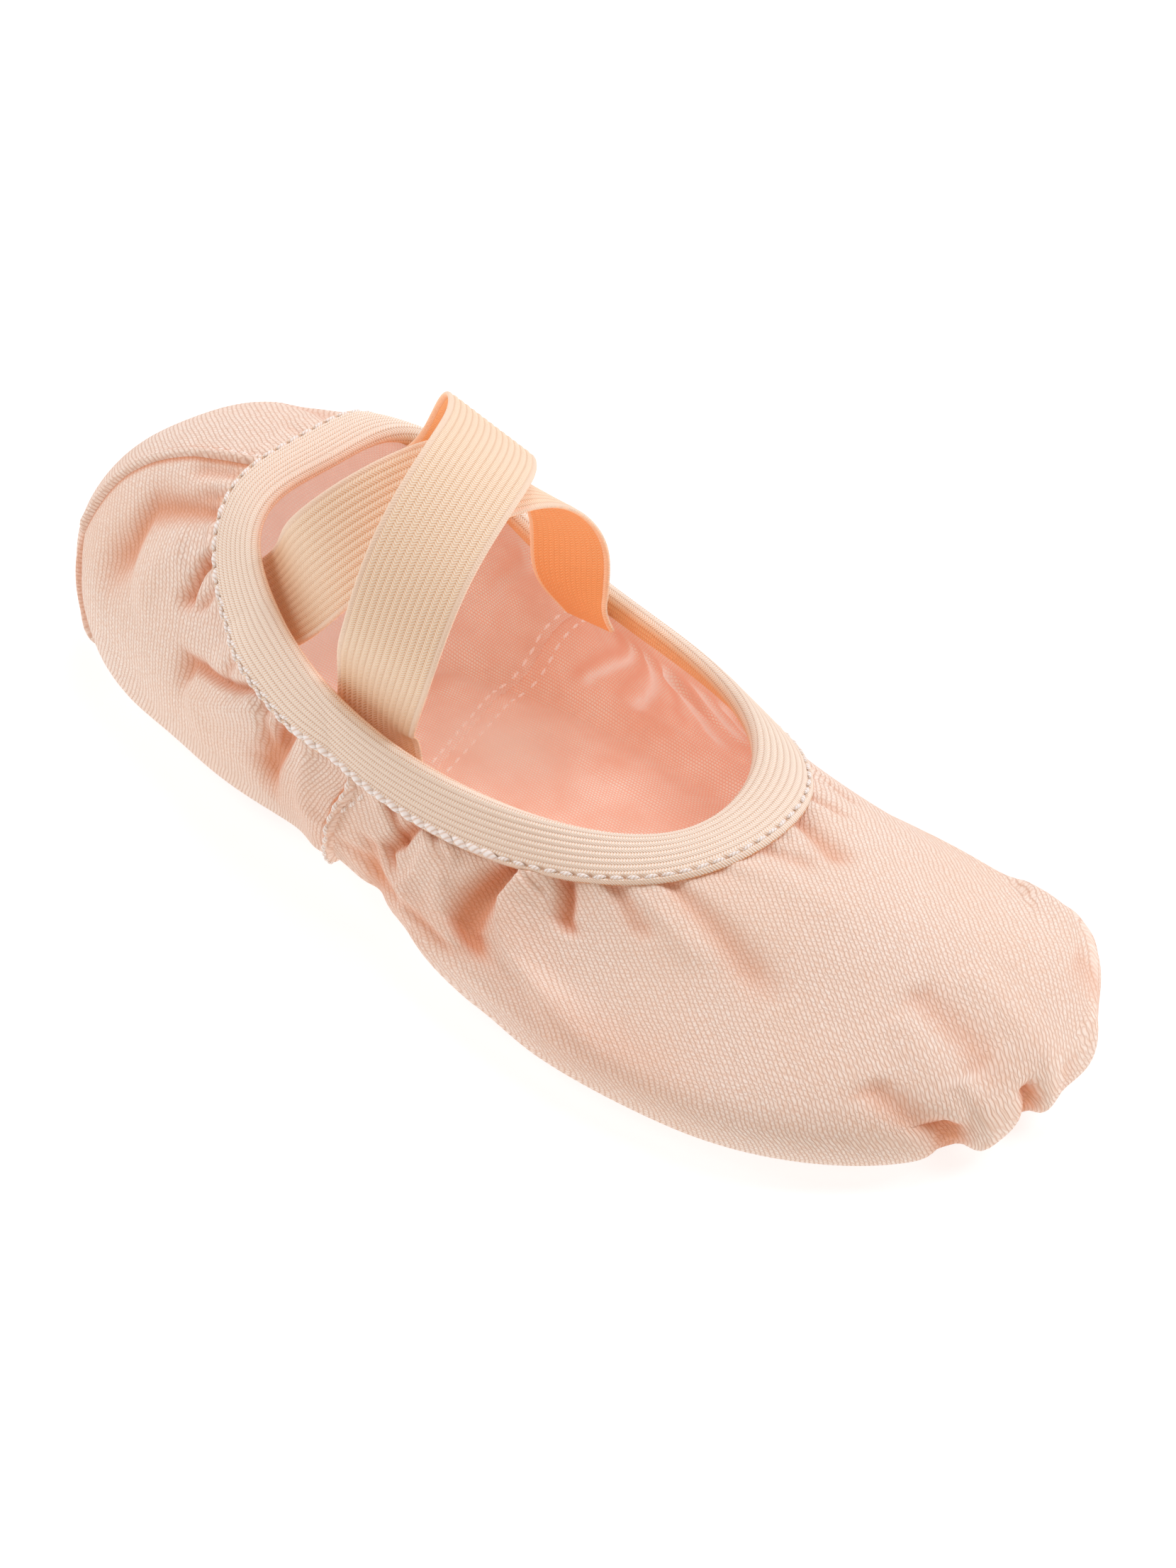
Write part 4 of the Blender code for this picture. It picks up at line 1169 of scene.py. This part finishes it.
# %% The line of the band
RIM_TO_STITCH = 9.7
BAND_LIP = 11.1  # from the rim to the elastic's lower edge
BAND_INNER = 4.0  # how far it reaches down inside
BAND_FACE = 0.8  # thickness of the elastic where it is stretched round the collar
BAND_COLUMNS = 600
NARROW_CHORD = 0.4  # the most that the band can be narrowed
SMALL_DEPTH = 0.004
TURN_AHEAD = 0.001
STITCH_PITCH = 3.05


def band_face(turns, below_rim, thickness):
    """Points at a height over the canvas some way below the rim, those on it, and out and up."""
    depth = min(below_rim / BAND_WIDTH * AT_BAND, AT_BAND)
    short = (narrowed(turns) / NARROW_CHORD)[:, None]

    def place(turns, depth):
        full, near = canvas_row(turns, depth)[0], canvas_row(turns, depth * (1 - NARROW_CHORD))[0]
        return between(full, near, short)

    here, lower = place(turns, depth), place(turns, depth + SMALL_DEPTH)
    ahead = place(turns + TURN_AHEAD, depth)
    outward = unit(np.cross(lower - here, ahead - here))
    here = here + unit(lower - here) * max(below_rim - BAND_WIDTH, 0.0)
    return here + outward * thickness, here, outward, unit(here - lower)


ROUND_TURNS = np.linspace(0, 1, 1601)
ROUND_RUN = run_of(band_face(ROUND_TURNS, RIM_TO_STITCH, 0.0)[0])
STITCH_COUNT = round(ROUND_RUN[-1] / STITCH_PITCH)
print(STITCH_COUNT, "stitches round", round(ROUND_RUN[-1]), "mm of band")


def stitch_phase(turns):
    """How many stitches lie between the heel and each turn."""
    return np.interp(turns, ROUND_TURNS, ROUND_RUN) / ROUND_RUN[-1] * STITCH_COUNT


# %% Band
FOLD_INSIDE = CANVAS_WALL / 2 + CLEARANCE  # radii of the fold over the rim
FOLD_OUTSIDE = FOLD_INSIDE + BAND_FACE + 0.1
AFTER_FOLD = math.pi * FOLD_OUTSIDE  # mm of elastic that go over the rim
EDGE_STEP = 0.8  # mm over which the elastic thins at its cut edges
EDGE_THIN = 0.1  # what is left of it there
RIB_HEIGHT = 0.16
INNER_RIB_HEIGHT = 0.18
SWELL = 0.25  # how far the face swells between the rim and the stitches
GROOVE_WIDTH = 0.55  # half the width of the groove that the stitches pull in
GROOVE_DEPTH = 0.12
NEEDLE_DEPTH = 0.22  # how much deeper it is where the needle went in
# painted shade in the needle holes of the band's stitched line
NEEDLE_HOLE_SHADE = 0.7
HOLE_SHARPNESS = 14


def rib_wave(place, pitch):
    """0 in the grooves of the knit and 1 on its ribs."""
    return 0.5 - 0.5 * math.cos(TURN * place / pitch)


def outer_face_of_band(below_rim, pull):
    """Height of the elastic's outer face over the canvas, and the painted shade in the holes where the
    needle went in.
    """
    lip = ramp(below_rim, BAND_LIP, BAND_LIP - EDGE_STEP)
    groove = bell(below_rim, RIM_TO_STITCH, GROOVE_WIDTH)
    thick = CLEARANCE + between(EDGE_THIN, BAND_FACE, lip) + RIB_HEIGHT * rib_wave(below_rim, RIB_PITCH)
    swell = SWELL * math.sin(math.pi * min(below_rim / RIM_TO_STITCH, 1.0))
    height = thick + swell - groove * (GROOVE_DEPTH + NEEDLE_DEPTH * pull)
    return height, NEEDLE_HOLE_SHADE * groove * pull**HOLE_SHARPNESS


# %% The folded elastic
def make_band():
    """The folded elastic as one closed ring: its outer face, the fold, its inner face and back."""
    turns = np.linspace(0, 1, BAND_COLUMNS + 1)
    pull = 0.5 + 0.5 * np.cos(TURN * stitch_phase(turns))  # 1 where the needle went in
    _, rim, outward, up = band_face(turns, 0.0, 0.0)
    centre = rim - outward * CANVAS_WALL / 2
    rows, spread, hole_shades = [], [], []

    def lay(row, distance, hole_shade=0.0):
        """Adds a row at a distance across the elastic."""
        rows.append(row)
        spread.append(distance)
        hole_shades.append(np.full(len(turns), hole_shade))

    def fold(angle, radius):
        """A row on the way over the rim, at an angle from outside."""
        return centre + radius * (outward * math.cos(angle) + up * math.sin(angle))

    for below_rim in np.linspace(BAND_LIP, 0, 72):
        height, hole_shade = outer_face_of_band(below_rim, pull)
        lay(band_face(turns, below_rim, height[:, None])[0], -below_rim, hole_shade)
    outer_rows = len(rows)
    for angle in np.linspace(0, math.pi, 10)[1:-1]:
        lay(fold(angle, FOLD_OUTSIDE), FOLD_OUTSIDE * angle)
    for below_rim in np.linspace(0, BAND_INNER, 30):
        thick = CANVAS_WALL + CLEARANCE + BAND_FACE + INNER_RIB_HEIGHT * rib_wave(below_rim, RIB_PITCH)
        thinned = ramp(below_rim, BAND_INNER - EDGE_STEP, BAND_INNER)
        thick = thick - (BAND_FACE - EDGE_THIN) * thinned
        lay(band_face(turns, below_rim, -thick)[0], AFTER_FOLD + below_rim)
    back = AFTER_FOLD + 2 * BAND_WIDTH
    for below_rim in np.linspace(BAND_INNER, 0, 4):
        lay(band_face(turns, below_rim, -(CANVAS_WALL + CLEARANCE))[0], back - below_rim)
    for angle in np.radians((135, 90, 45)):
        lay(fold(angle, FOLD_INSIDE), back)
    for below_rim in np.linspace(0, BAND_LIP, 4):
        lay(band_face(turns, below_rim, CLEARANCE)[0], back)
    lay(rows[0], -BAND_LIP)
    length = np.interp(turns, ROUND_TURNS, ROUND_RUN)
    cloth = np.stack(np.broadcast_arrays(length[None], np.array(spread)[:, None]), axis=2)
    inner = ramp(np.arange(len(rows)), outer_rows + 2, outer_rows + 8)[:, None] * np.ones(len(turns))
    band = wrap_grid("collar_band", np.stack(rows), cloth.copy(), hollow=np.stack(hole_shades), inner=inner)
    close_up(band, open_ends=False)
    bpy.ops.object.shade_smooth()
    band.data.materials.append(COLLAR_ELASTIC)
    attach(band, "root")
    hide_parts("collar_binding")
    print("collar_band", len(band.data.polygons), "faces")


make_band()

# %% [markdown]
# ## Stitches
#
# A lockstitch shows as a row of short beads of thread, each diving into the cloth at both ends. One
# bead is modelled from a sphere, and its copies are set end to end along each seam and then joined, so
# that a whole row is one piece.

# %% One stitch
STITCH_BEND = 0.9
STITCH_TAPER = 0.5


def model_stitch():
    """A bead of thread 1 unit long along X, with its ends bent down."""
    bpy.ops.object.select_all(action="DESELECT")
    bpy.ops.mesh.primitive_uv_sphere_add(segments=8, ring_count=6, radius=0.5)
    bead = bpy.context.object
    bead.name = "stitch"
    bead.data.uv_layers[0].name = PLY_MAP
    bpy.ops.object.mode_set(mode="EDIT")
    bpy.ops.mesh.select_all(action="SELECT")
    bpy.ops.transform.rotate(value=math.pi / 2, orient_axis="Y", center_override=(0, 0, 0))
    bpy.ops.object.mode_set(mode="OBJECT")
    for point in bead.data.vertices:
        point.co.z -= STITCH_BEND * point.co.x**2
        point.co.y *= 1 - STITCH_TAPER * abs(point.co.x)
    bpy.ops.object.shade_smooth()
    return bead


stitch = model_stitch()


# %% Rows of stitches
def sew(name, places, runs, faces, size, tilts, thread):
    """Copies of the stitch at places in mm: along the runs, raised off the faces, tilted in degrees."""
    beads = []
    across = unit(np.cross(faces, runs))
    runs = unit(np.cross(across, faces))
    for place, run, side, face, tilt in zip(places, runs, across, unit(faces), np.radians(tilts)):
        forward = run * math.cos(tilt) + side * math.sin(tilt)
        sideways = side * math.cos(tilt) - run * math.sin(tilt)
        rows = np.stack([forward * size[0], sideways * size[1], face * size[2], place]).T * MM
        bead = stitch.copy()
        bead.data = stitch.data.copy()
        bpy.context.collection.objects.link(bead)
        bead.data.transform(Matrix([*rows.tolist(), [0, 0, 0, 1]]))
        beads.append(bead)
    bpy.ops.object.select_all(action="DESELECT")
    for bead in beads:
        bead.select_set(True)
    bpy.context.view_layer.objects.active = beads[0]
    bpy.ops.object.join()
    row = bpy.context.object
    row.name = row.data.name = name
    row.data.materials.clear()
    row.data.materials.append(thread)
    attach(row, "root")
    print(name, len(beads), "stitches")


# %% Stitches round the collar
BOLD_FROM = 0.088  # turns at which the row changes from one sort of stitch to the next
CHAIN_FROM = 0.152
HEAVY_FROM, HEAVY_TO = 0.222, 0.354
FINE_SIZE = (2.5, 0.8, 0.7)  # length, width and height of one stitch
BOLD_SIZE = (3.0, 1.15, 1.0)
CHAIN_SIZE = (2.9, 0.8, 0.75)
HEAVY_SIZE = (4.1, 1.55, 1.2)
LIFT, CHAIN_LIFT, FINE_LIFT = 0.1, 0.05, 0.08  # of a row over the elastic's face
CHAIN_ROWS = (
    # name, mm below the stitched line, tilt in degrees
    ("low", 0.45, -16.0),
    ("high", -0.55, 20.0),
)


def collar_row(name, numbers, size, tilts, lift=LIFT, shift=0.0):
    """Stitches along the band, numbered from the heel."""
    turns = np.interp(numbers / STITCH_COUNT * ROUND_RUN[-1], ROUND_RUN, ROUND_TURNS)
    height = CLEARANCE + BAND_FACE + lift
    places, _, faces, _ = band_face(turns, RIM_TO_STITCH + shift, height)
    ahead = band_face(turns + TURN_AHEAD, RIM_TO_STITCH + shift, height)[0]
    sew(name, places, unit(ahead - places), faces, size, tilts, WHITE_THREAD)


numbers = np.arange(STITCH_COUNT) + 0.5
at_turn = np.interp(numbers, stitch_phase(ROUND_TURNS), ROUND_TURNS)
fine = numbers[(at_turn < BOLD_FROM) | (at_turn > HEAVY_TO)]
bold = numbers[(at_turn >= BOLD_FROM) & (at_turn < CHAIN_FROM)]
chain = numbers[(at_turn >= CHAIN_FROM) & (at_turn < HEAVY_FROM)]
heavy = numbers[(at_turn >= HEAVY_FROM) & (at_turn <= HEAVY_TO)]
collar_row("collar_fine_stitches", fine, FINE_SIZE, 8 * np.sin(fine * 2.1), FINE_LIFT)
collar_row("collar_heavy_stitches", heavy, HEAVY_SIZE, -13 + 5 * np.sin(heavy * 1.7))
collar_row("collar_bold_stitches", bold, BOLD_SIZE, -10 + 6 * np.sin(bold * 1.9))
for row_name, shift, tilt in CHAIN_ROWS:
    staggered = chain + 0.25 * np.sign(shift)
    tilts = np.full(len(chain), tilt)
    collar_row(f"collar_chain_stitches_{row_name}", staggered, CHAIN_SIZE, tilts, CHAIN_LIFT, shift)

# %% Stitches along the panels' seams
SEAM_STITCH = (2.3, 0.9, 0.85)
WELT_STITCH = (2.5, 0.95, 0.9)
SEAM_STITCH_PITCH = 2.7
SEAM_LOOK = 0.5  # mm either way along a seam, to see where it runs
SEAM_ROWS = (
    # name, panel's face, at its last edge, (mm below the band, mm from the edge) pairs, first and
    # last mm below the band, size
    ("outer_seam_welt", outer_face, True, ((0, 2.3), (40, 2.3)), 1.0, 34, WELT_STITCH),
    ("outer_seam_vamp", vamp_face, False, ((3, 5.4), (8, 4.9), (12, 4.2), (20, 3.9)), 2.0, 34, SEAM_STITCH),
    ("inner_seam_welt", inner_face, False, ((0, 2.3), (40, 2.3)), 1.0, 34, WELT_STITCH),
    ("inner_seam_vamp", vamp_face, True, ((3, 5.4), (8, 4.9), (12, 4.2), (20, 3.9)), 2.0, 34, SEAM_STITCH),
    ("heel_seam", inner_face, True, ((0, 3.0), (12, 4.0), (60, 3.6)), -2.0, 56, SEAM_STITCH),
)


def beside_edge(sheet, at_last, reaches, *others):
    """The line some mm in from one edge of a sheet, and what other tables say along it."""
    sheet, *others = [part[:, ::-1] if at_last else part for part in (sheet, *others)]
    inwards = run_of(sheet)
    return [
        np.array([read_at(reach, run, row) for reach, run, row in zip(reaches, inwards, table)])
        for table in (sheet, *others)
    ]


def seam_row(name, face, at_last, reaches, first, last, size):
    """A row of stitches beside a panel's edge, from one distance below the band to another."""
    points, normals, below = face
    at_edge = below[:, -1 if at_last else 0]
    line, facing, depth = beside_edge(
        points, at_last, np.interp(at_edge, *np.array(reaches).T), normals, below[..., None])
    run = run_of(line)
    start, end = np.interp((first, last), depth[:, 0], run)
    at = np.arange(start + SEAM_STITCH_PITCH / 2, end, SEAM_STITCH_PITCH)
    runs = read_at(at + SEAM_LOOK, run, line) - read_at(at - SEAM_LOOK, run, line)
    faces = unit(read_at(at, run, facing))
    tilts = 6 * np.sin(at * 1.3)
    sew(f"{name}_stitches", read_at(at, run, line), runs, faces, size, tilts, CANVAS_THREAD)


for seam in SEAM_ROWS:
    seam_row(*seam)

# %% Stitches along the lining's seam
LINING_STITCH_PITCH = 3.2
LINING_LOOK = 0.6  # either way along this seam
INTO_SHEET = 1.5  # from the seam into the sheet, to see how it lies
ABOVE_LINING = 30.0  # height of a point that the stitches face
LINING_LIFT = 0.05


def across_lining(name, points, at_last, reach, size):
    """A row of stitches that crosses the floor and climbs both walls beside a lining's edge."""
    line = beside_edge(points, at_last, np.full(len(points), reach))[0]
    inner = beside_edge(points, at_last, np.full(len(points), reach + INTO_SHEET))[0]
    run = run_of(line)
    at = np.arange(LINING_STITCH_PITCH, run[-1] - LINING_STITCH_PITCH, LINING_STITCH_PITCH)
    places = read_at(at, run, line)
    runs = read_at(at + LINING_LOOK, run, line) - read_at(at - LINING_LOOK, run, line)
    faces = unit(np.cross(runs, read_at(at, run, inner) - places))
    middle = np.array([0.0, places[:, 1].mean(), ABOVE_LINING])
    faces *= np.sign(((middle - places) * faces).sum(axis=1))[:, None]
    sew(name, places + faces * LINING_LIFT, runs, faces, size, np.zeros(len(at)), LINING_THREAD)


across_lining("lining_heel_stitches", heel_inside, True, 1.6, (2.3, 0.6, 0.5))
across_lining("lining_front_stitches", front_inside, False, 4.6, (2.1, 0.55, 0.5))

# %% [markdown]
# ## The crossed elastics
#
# Two ribbed elastics cross over the instep to hold the slipper on. Each is sewn to the inside of the
# collar at both ends and springs up between them, twisting as it goes. A few free rows (a middle point
# and the direction across) give that path, a smooth curve joins them, and a flat section with a raised
# lip at each edge is laid along it. Near the collar the rows follow the collar's own face, so the ends
# sit against it.

# %% Straps
STRAPS = (
    # name, turns of the near end (heel edge, toe edge), turns of the far end (heel edge, toe edge)
    ("strap_over", (0.239, 0.305), (0.895, 0.815), (
        # x,     y,    z,    across x, y, z
        (-31.6, 18.6, 56.5,  -0.20, 0.96, 0.17),
        (-24.2, 17.4, 73.4,  -0.33, 0.91, 0.23),
        ( -8.4, 21.6, 81.3,  -0.41, 0.82, 0.40),
        (  7.8, 32.2, 77.2,  -0.36, 0.78, 0.50),
        ( 19.8, 46.8, 66.4,  -0.34, 0.78, 0.52),
    )),
    ("strap_under", (0.115, 0.205), (0.772, 0.706), (
        (-23.4, 44.2, 59.6,   0.07, 0.80, 0.60),
        (-15.2, 34.8, 70.6,   0.10, 0.80, 0.60),
        (  0.6, 31.0, 72.3,   0.12, 0.90, 0.43),
        ( 15.4, 31.5, 64.0,  -0.06, 0.99, 0.10),
        ( 24.6, 29.5, 49.0,  -0.06, 0.99, 0.06),
    )),
)
TUCK_DEPTHS = (8.0, 0.5)  # mm below the rim where a strap's ends follow the collar
TUCK_EASE = 0.9  # room between strap and collar there
STRAP_ROWS = 240
RIB_STEPS = 8  # steps of the section across each rib
LIP_PLACES = np.array([0.0, 0.06, 0.22, 0.5, 0.8, 1.0])  # and from the edge across the lip
LIP_HALF_WIDTH = 0.55
LIP_HEIGHT = 0.46
LIP_GROOVE = 0.33  # half the thickness between the lip and the first rib
RIB_RISE = 0.15
RIB_FLOOR = STRAP / 2 - 0.17  # half the thickness between two ribs
BACK_HEIGHT = STRAP / 2 - 0.12  # the back is flatter, and no higher than this
END_SHADE = 0.45
END_SHADE_FROM, END_SHADE_TO = 8, 28  # mm from a strap's end
EDGE_ANGLE = math.radians(60)


# %% Where a strap is sewn
def inside_collar(turn, depth):
    """The point where a strap's edge lies against the folded band, depth below the rim."""
    side, _, _ = skin(np.array([turn - SMALL_TURN, turn, turn + SMALL_TURN]))
    here, lower = [along(side, np.full(3, below))[0] for below in (depth, depth + 1.0)]
    outward = unit(np.cross(lower[1] - here[1], here[2] - here[0]))
    inset = CANVAS_WALL + CLEARANCE + BAND + CLEARANCE + TUCK_EASE + STRAP / 2
    return here[1] - outward * inset


def tucked_row(heel_edge, toe_edge, depth):
    """A strap's middle point and direction across, where it lies inside the collar."""
    back, front = inside_collar(heel_edge, depth), inside_collar(toe_edge, depth)
    return [*((back + front) / 2), *unit(back - front)]


def strap_section():
    """Points round the section of a strap: how far across, and how high over its middle plane."""
    rib_places = STRAP_LIP + STRAP_PITCH * np.arange(STRAP_RIBS * RIB_STEPS + 1) / RIB_STEPS
    places = np.concatenate([LIP_PLACES, rib_places, STRAP_WIDTH - LIP_PLACES[::-1]])
    front = []
    for place in places:
        from_edge = min(place, STRAP_WIDTH - place)
        if from_edge >= STRAP_LIP:
            height = RIB_FLOOR + RIB_RISE * rib_wave(place - STRAP_LIP, STRAP_PITCH)
        elif from_edge < LIP_PLACES[-1]:
            height = LIP_HEIGHT * math.sqrt(max(1 - (from_edge / LIP_HALF_WIDTH - 1) ** 2, 0.0))
        else:
            height = LIP_GROOVE
        front.append((place, height))
    back = [(place, -min(height, BACK_HEIGHT)) for place, height in reversed(front)]
    return front + back + front[:1]


# %% Both straps
def make_strap(name, near_turns, far_turns, free_rows):
    """A ribbed elastic along its middle line, with both ends tucked inside the collar."""
    free = np.array(free_rows)
    free[:, 0] += CENTRE_X
    free[:, 1] += CENTRE_Y
    rows = [tucked_row(*near_turns, depth) for depth in TUCK_DEPTHS]
    rows += [list(row) for row in free]
    rows += [tucked_row(*far_turns, depth) for depth in reversed(TUCK_DEPTHS)]
    stations = open_curve(rows, STRAP_ROWS)
    middle, across = stations[:, :3], unit(stations[:, 3:])
    running = unit(np.gradient(middle, axis=0))
    across = unit(across - running * (across * running).sum(axis=1, keepdims=True))
    facing = np.cross(running, across)
    length = run_of(middle)
    section, cloth = [], []
    for place, height in strap_section():
        from_middle = place - STRAP_WIDTH / 2
        section.append(middle + across * from_middle + facing * height)
        cloth.append(np.stack([length, np.full(STRAP_ROWS, place)], axis=1))
    inner = np.repeat(np.arange(len(section)) > len(section) // 2, STRAP_ROWS).astype(float)
    from_end = np.minimum(length, length[-1] - length)
    shaded = np.tile(END_SHADE * ramp(from_end, END_SHADE_TO, END_SHADE_FROM), (len(section), 1))
    strap = wrap_grid(name + "_elastic", np.stack(section), np.stack(cloth), inner=inner, hollow=shaded)
    close_up(strap, open_ends=True)
    bpy.ops.object.shade_smooth_by_angle(angle=EDGE_ANGLE)
    strap.data.materials.append(STRAP_ELASTIC)
    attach(strap, "root")
    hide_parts(name)
    print(name, len(strap.data.polygons), "faces", round(length[-1]), "mm long")


for strap in STRAPS:
    make_strap(*strap)

# %% [markdown]
# ## The soles
#
# A split sole is two patches of suede with a gap under the arch. Their solids are already right, so
# they only get the suede and the row of stitches that holds each to the canvas.

# %% Soles
SOLE_STITCH = (2.4, 0.7, 0.5)
SOLE_STITCH_PITCH = 3.0
SOLE_STITCH_INSET = 2.4
SOLE_STITCH_HEIGHT = 0.1
SOLE_LOOK = 1.5
SOLE_PATCHES = (
    # name, turns of its front and back end, bulge of its edge at the waist
    ("front_sole", 0.285, 0.715, 8.0),
    ("heel_sole", 0.800, 1.200, -8.0),
)


def finish_sole(name, first, last, bulge):
    """Gives a sole its suede and its row of stitches."""
    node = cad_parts[name]
    node.data.materials.clear()
    node.data.materials.append(SUEDE_FINISH)
    _, _, floor_line, outward = last_lines(np.linspace(first, last, 90))
    edge = (floor_line - outward * SOLE_INSET)[:, :2]
    share = np.linspace(0, 1, 40)[1:, None]
    waist = between(edge[-1], edge[0], share) + np.array([0.0, bulge]) * np.sin(math.pi * share)
    outline = np.concatenate([edge, waist])
    run = run_of(outline)
    at = np.arange(SOLE_STITCH_PITCH / 2, run[-1], SOLE_STITCH_PITCH)
    steps = (SOLE_LOOK, 0, -SOLE_LOOK)
    ahead, here, behind = [read_at((at + step) % run[-1], run, outline) for step in steps]
    runs = unit(ahead - behind)
    inwards = np.stack([-runs[:, 1], runs[:, 0]], axis=1)
    inwards *= np.sign(((outline.mean(axis=0) - here) * inwards).sum(axis=1))[:, None]
    level = np.zeros(len(at))
    places = np.column_stack([here + inwards * SOLE_STITCH_INSET, level + SOLE_STITCH_HEIGHT])
    faces = np.tile([0.0, 0.0, -1.0], (len(at), 1))
    sew(f"{name}_stitches", places, np.column_stack([runs, level]), faces, SOLE_STITCH, level, CANVAS_THREAD)


for patch in SOLE_PATCHES:
    finish_sole(*patch)
bpy.data.objects.remove(stitch)

# %% [markdown]
# ## Floor, light and camera
#
# The slipper stands on white paper that runs out to pure white, under a large soft light from above the
# toe, with weaker ones to fill the shaded sides. The floor lights itself, so it stays white and keeps
# only a faint shadow. The long lens looks down on the outer side from in front.

# %% Floor
FLOOR_GLOW = 0.76
bpy.ops.object.select_all(action="DESELECT")
bpy.ops.mesh.primitive_plane_add(size=8.0, location=(0, 0, -0.0002))
floor = bpy.context.object
floor.name = "studio_floor"
paper, paper_tree, paper_shader = new_material("white_paper", "#FFFFFF")
feed(paper_tree, paper_shader, {
    "Base Color": colour("#A0A0A0"),
    "Roughness": 1.0,
    "Emission Color": colour("#FFFFFF"),
    "Emission Strength": FLOOR_GLOW,
})
floor.data.materials.append(paper)

# %% Light
SKY_STRENGTH = 0.54
LAMP_SIZE = 0.6
LAMPS = (
    # name, place and aim in metres, watts
    ("overhead", (0.35, 0.1, 1.30), (0, 0, 0), 5.0),
    ("toe_side", (0.90, -0.60, 0.85), (0, -0.05, 0), 7.5),
    ("heel_side", (-0.55, 0.95, 0.80), (0, 0.05, 0.02), 5.5),
)
world = bpy.data.worlds.new("studio")
bpy.context.scene.world = world
world.use_nodes = True
sky = {"Color": colour("#FFE2CE"), "Strength": SKY_STRENGTH}
feed(world.node_tree, world.node_tree.nodes["Background"], sky)
for lamp_name, place, aim, power in LAMPS:
    bpy.ops.object.light_add(type="AREA", location=place)
    lamp = bpy.context.object
    lamp.name = lamp_name
    lamp.data.size = LAMP_SIZE
    lamp.data.energy = power
    lamp.data.color = colour("#EAF4FF")[:3]
    towards = np.array(aim) - np.array(place)
    from_above = math.atan2(math.hypot(towards[0], towards[1]), -towards[2])
    lamp.rotation_euler = (from_above, 0, math.atan2(towards[1], towards[0]) - math.pi / 2)

# %% Camera
AZIMUTH, ELEVATION, ROLL = -45.1, 36.6, 0.2
DISTANCE = 1.487
TARGET = np.array([0.0043, -0.0072, 0.020])
LENS, SENSOR = 190.0, 36.0

azimuth, elevation, roll = np.radians([AZIMUTH, ELEVATION, ROLL])
back = np.array([math.sin(azimuth) * math.cos(elevation), -math.cos(azimuth) * math.cos(elevation),
                 math.sin(elevation)])
level = np.array([math.cos(azimuth), math.sin(azimuth), 0.0])
upright = np.cross(back, level)
right = math.cos(roll) * level + math.sin(roll) * upright
up = -math.sin(roll) * level + math.cos(roll) * upright
place = TARGET + back * DISTANCE
bpy.ops.object.camera_add()
camera = bpy.context.object
camera.name = "camera"
camera.matrix_world = Matrix([*np.stack([right, up, back, place]).T.tolist(), [0, 0, 0, 1]])
camera.data.lens = LENS
camera.data.sensor_width = SENSOR
camera.data.clip_end = 20.0
bpy.context.scene.camera = camera
bpy.context.scene.view_settings.view_transform = "Standard"
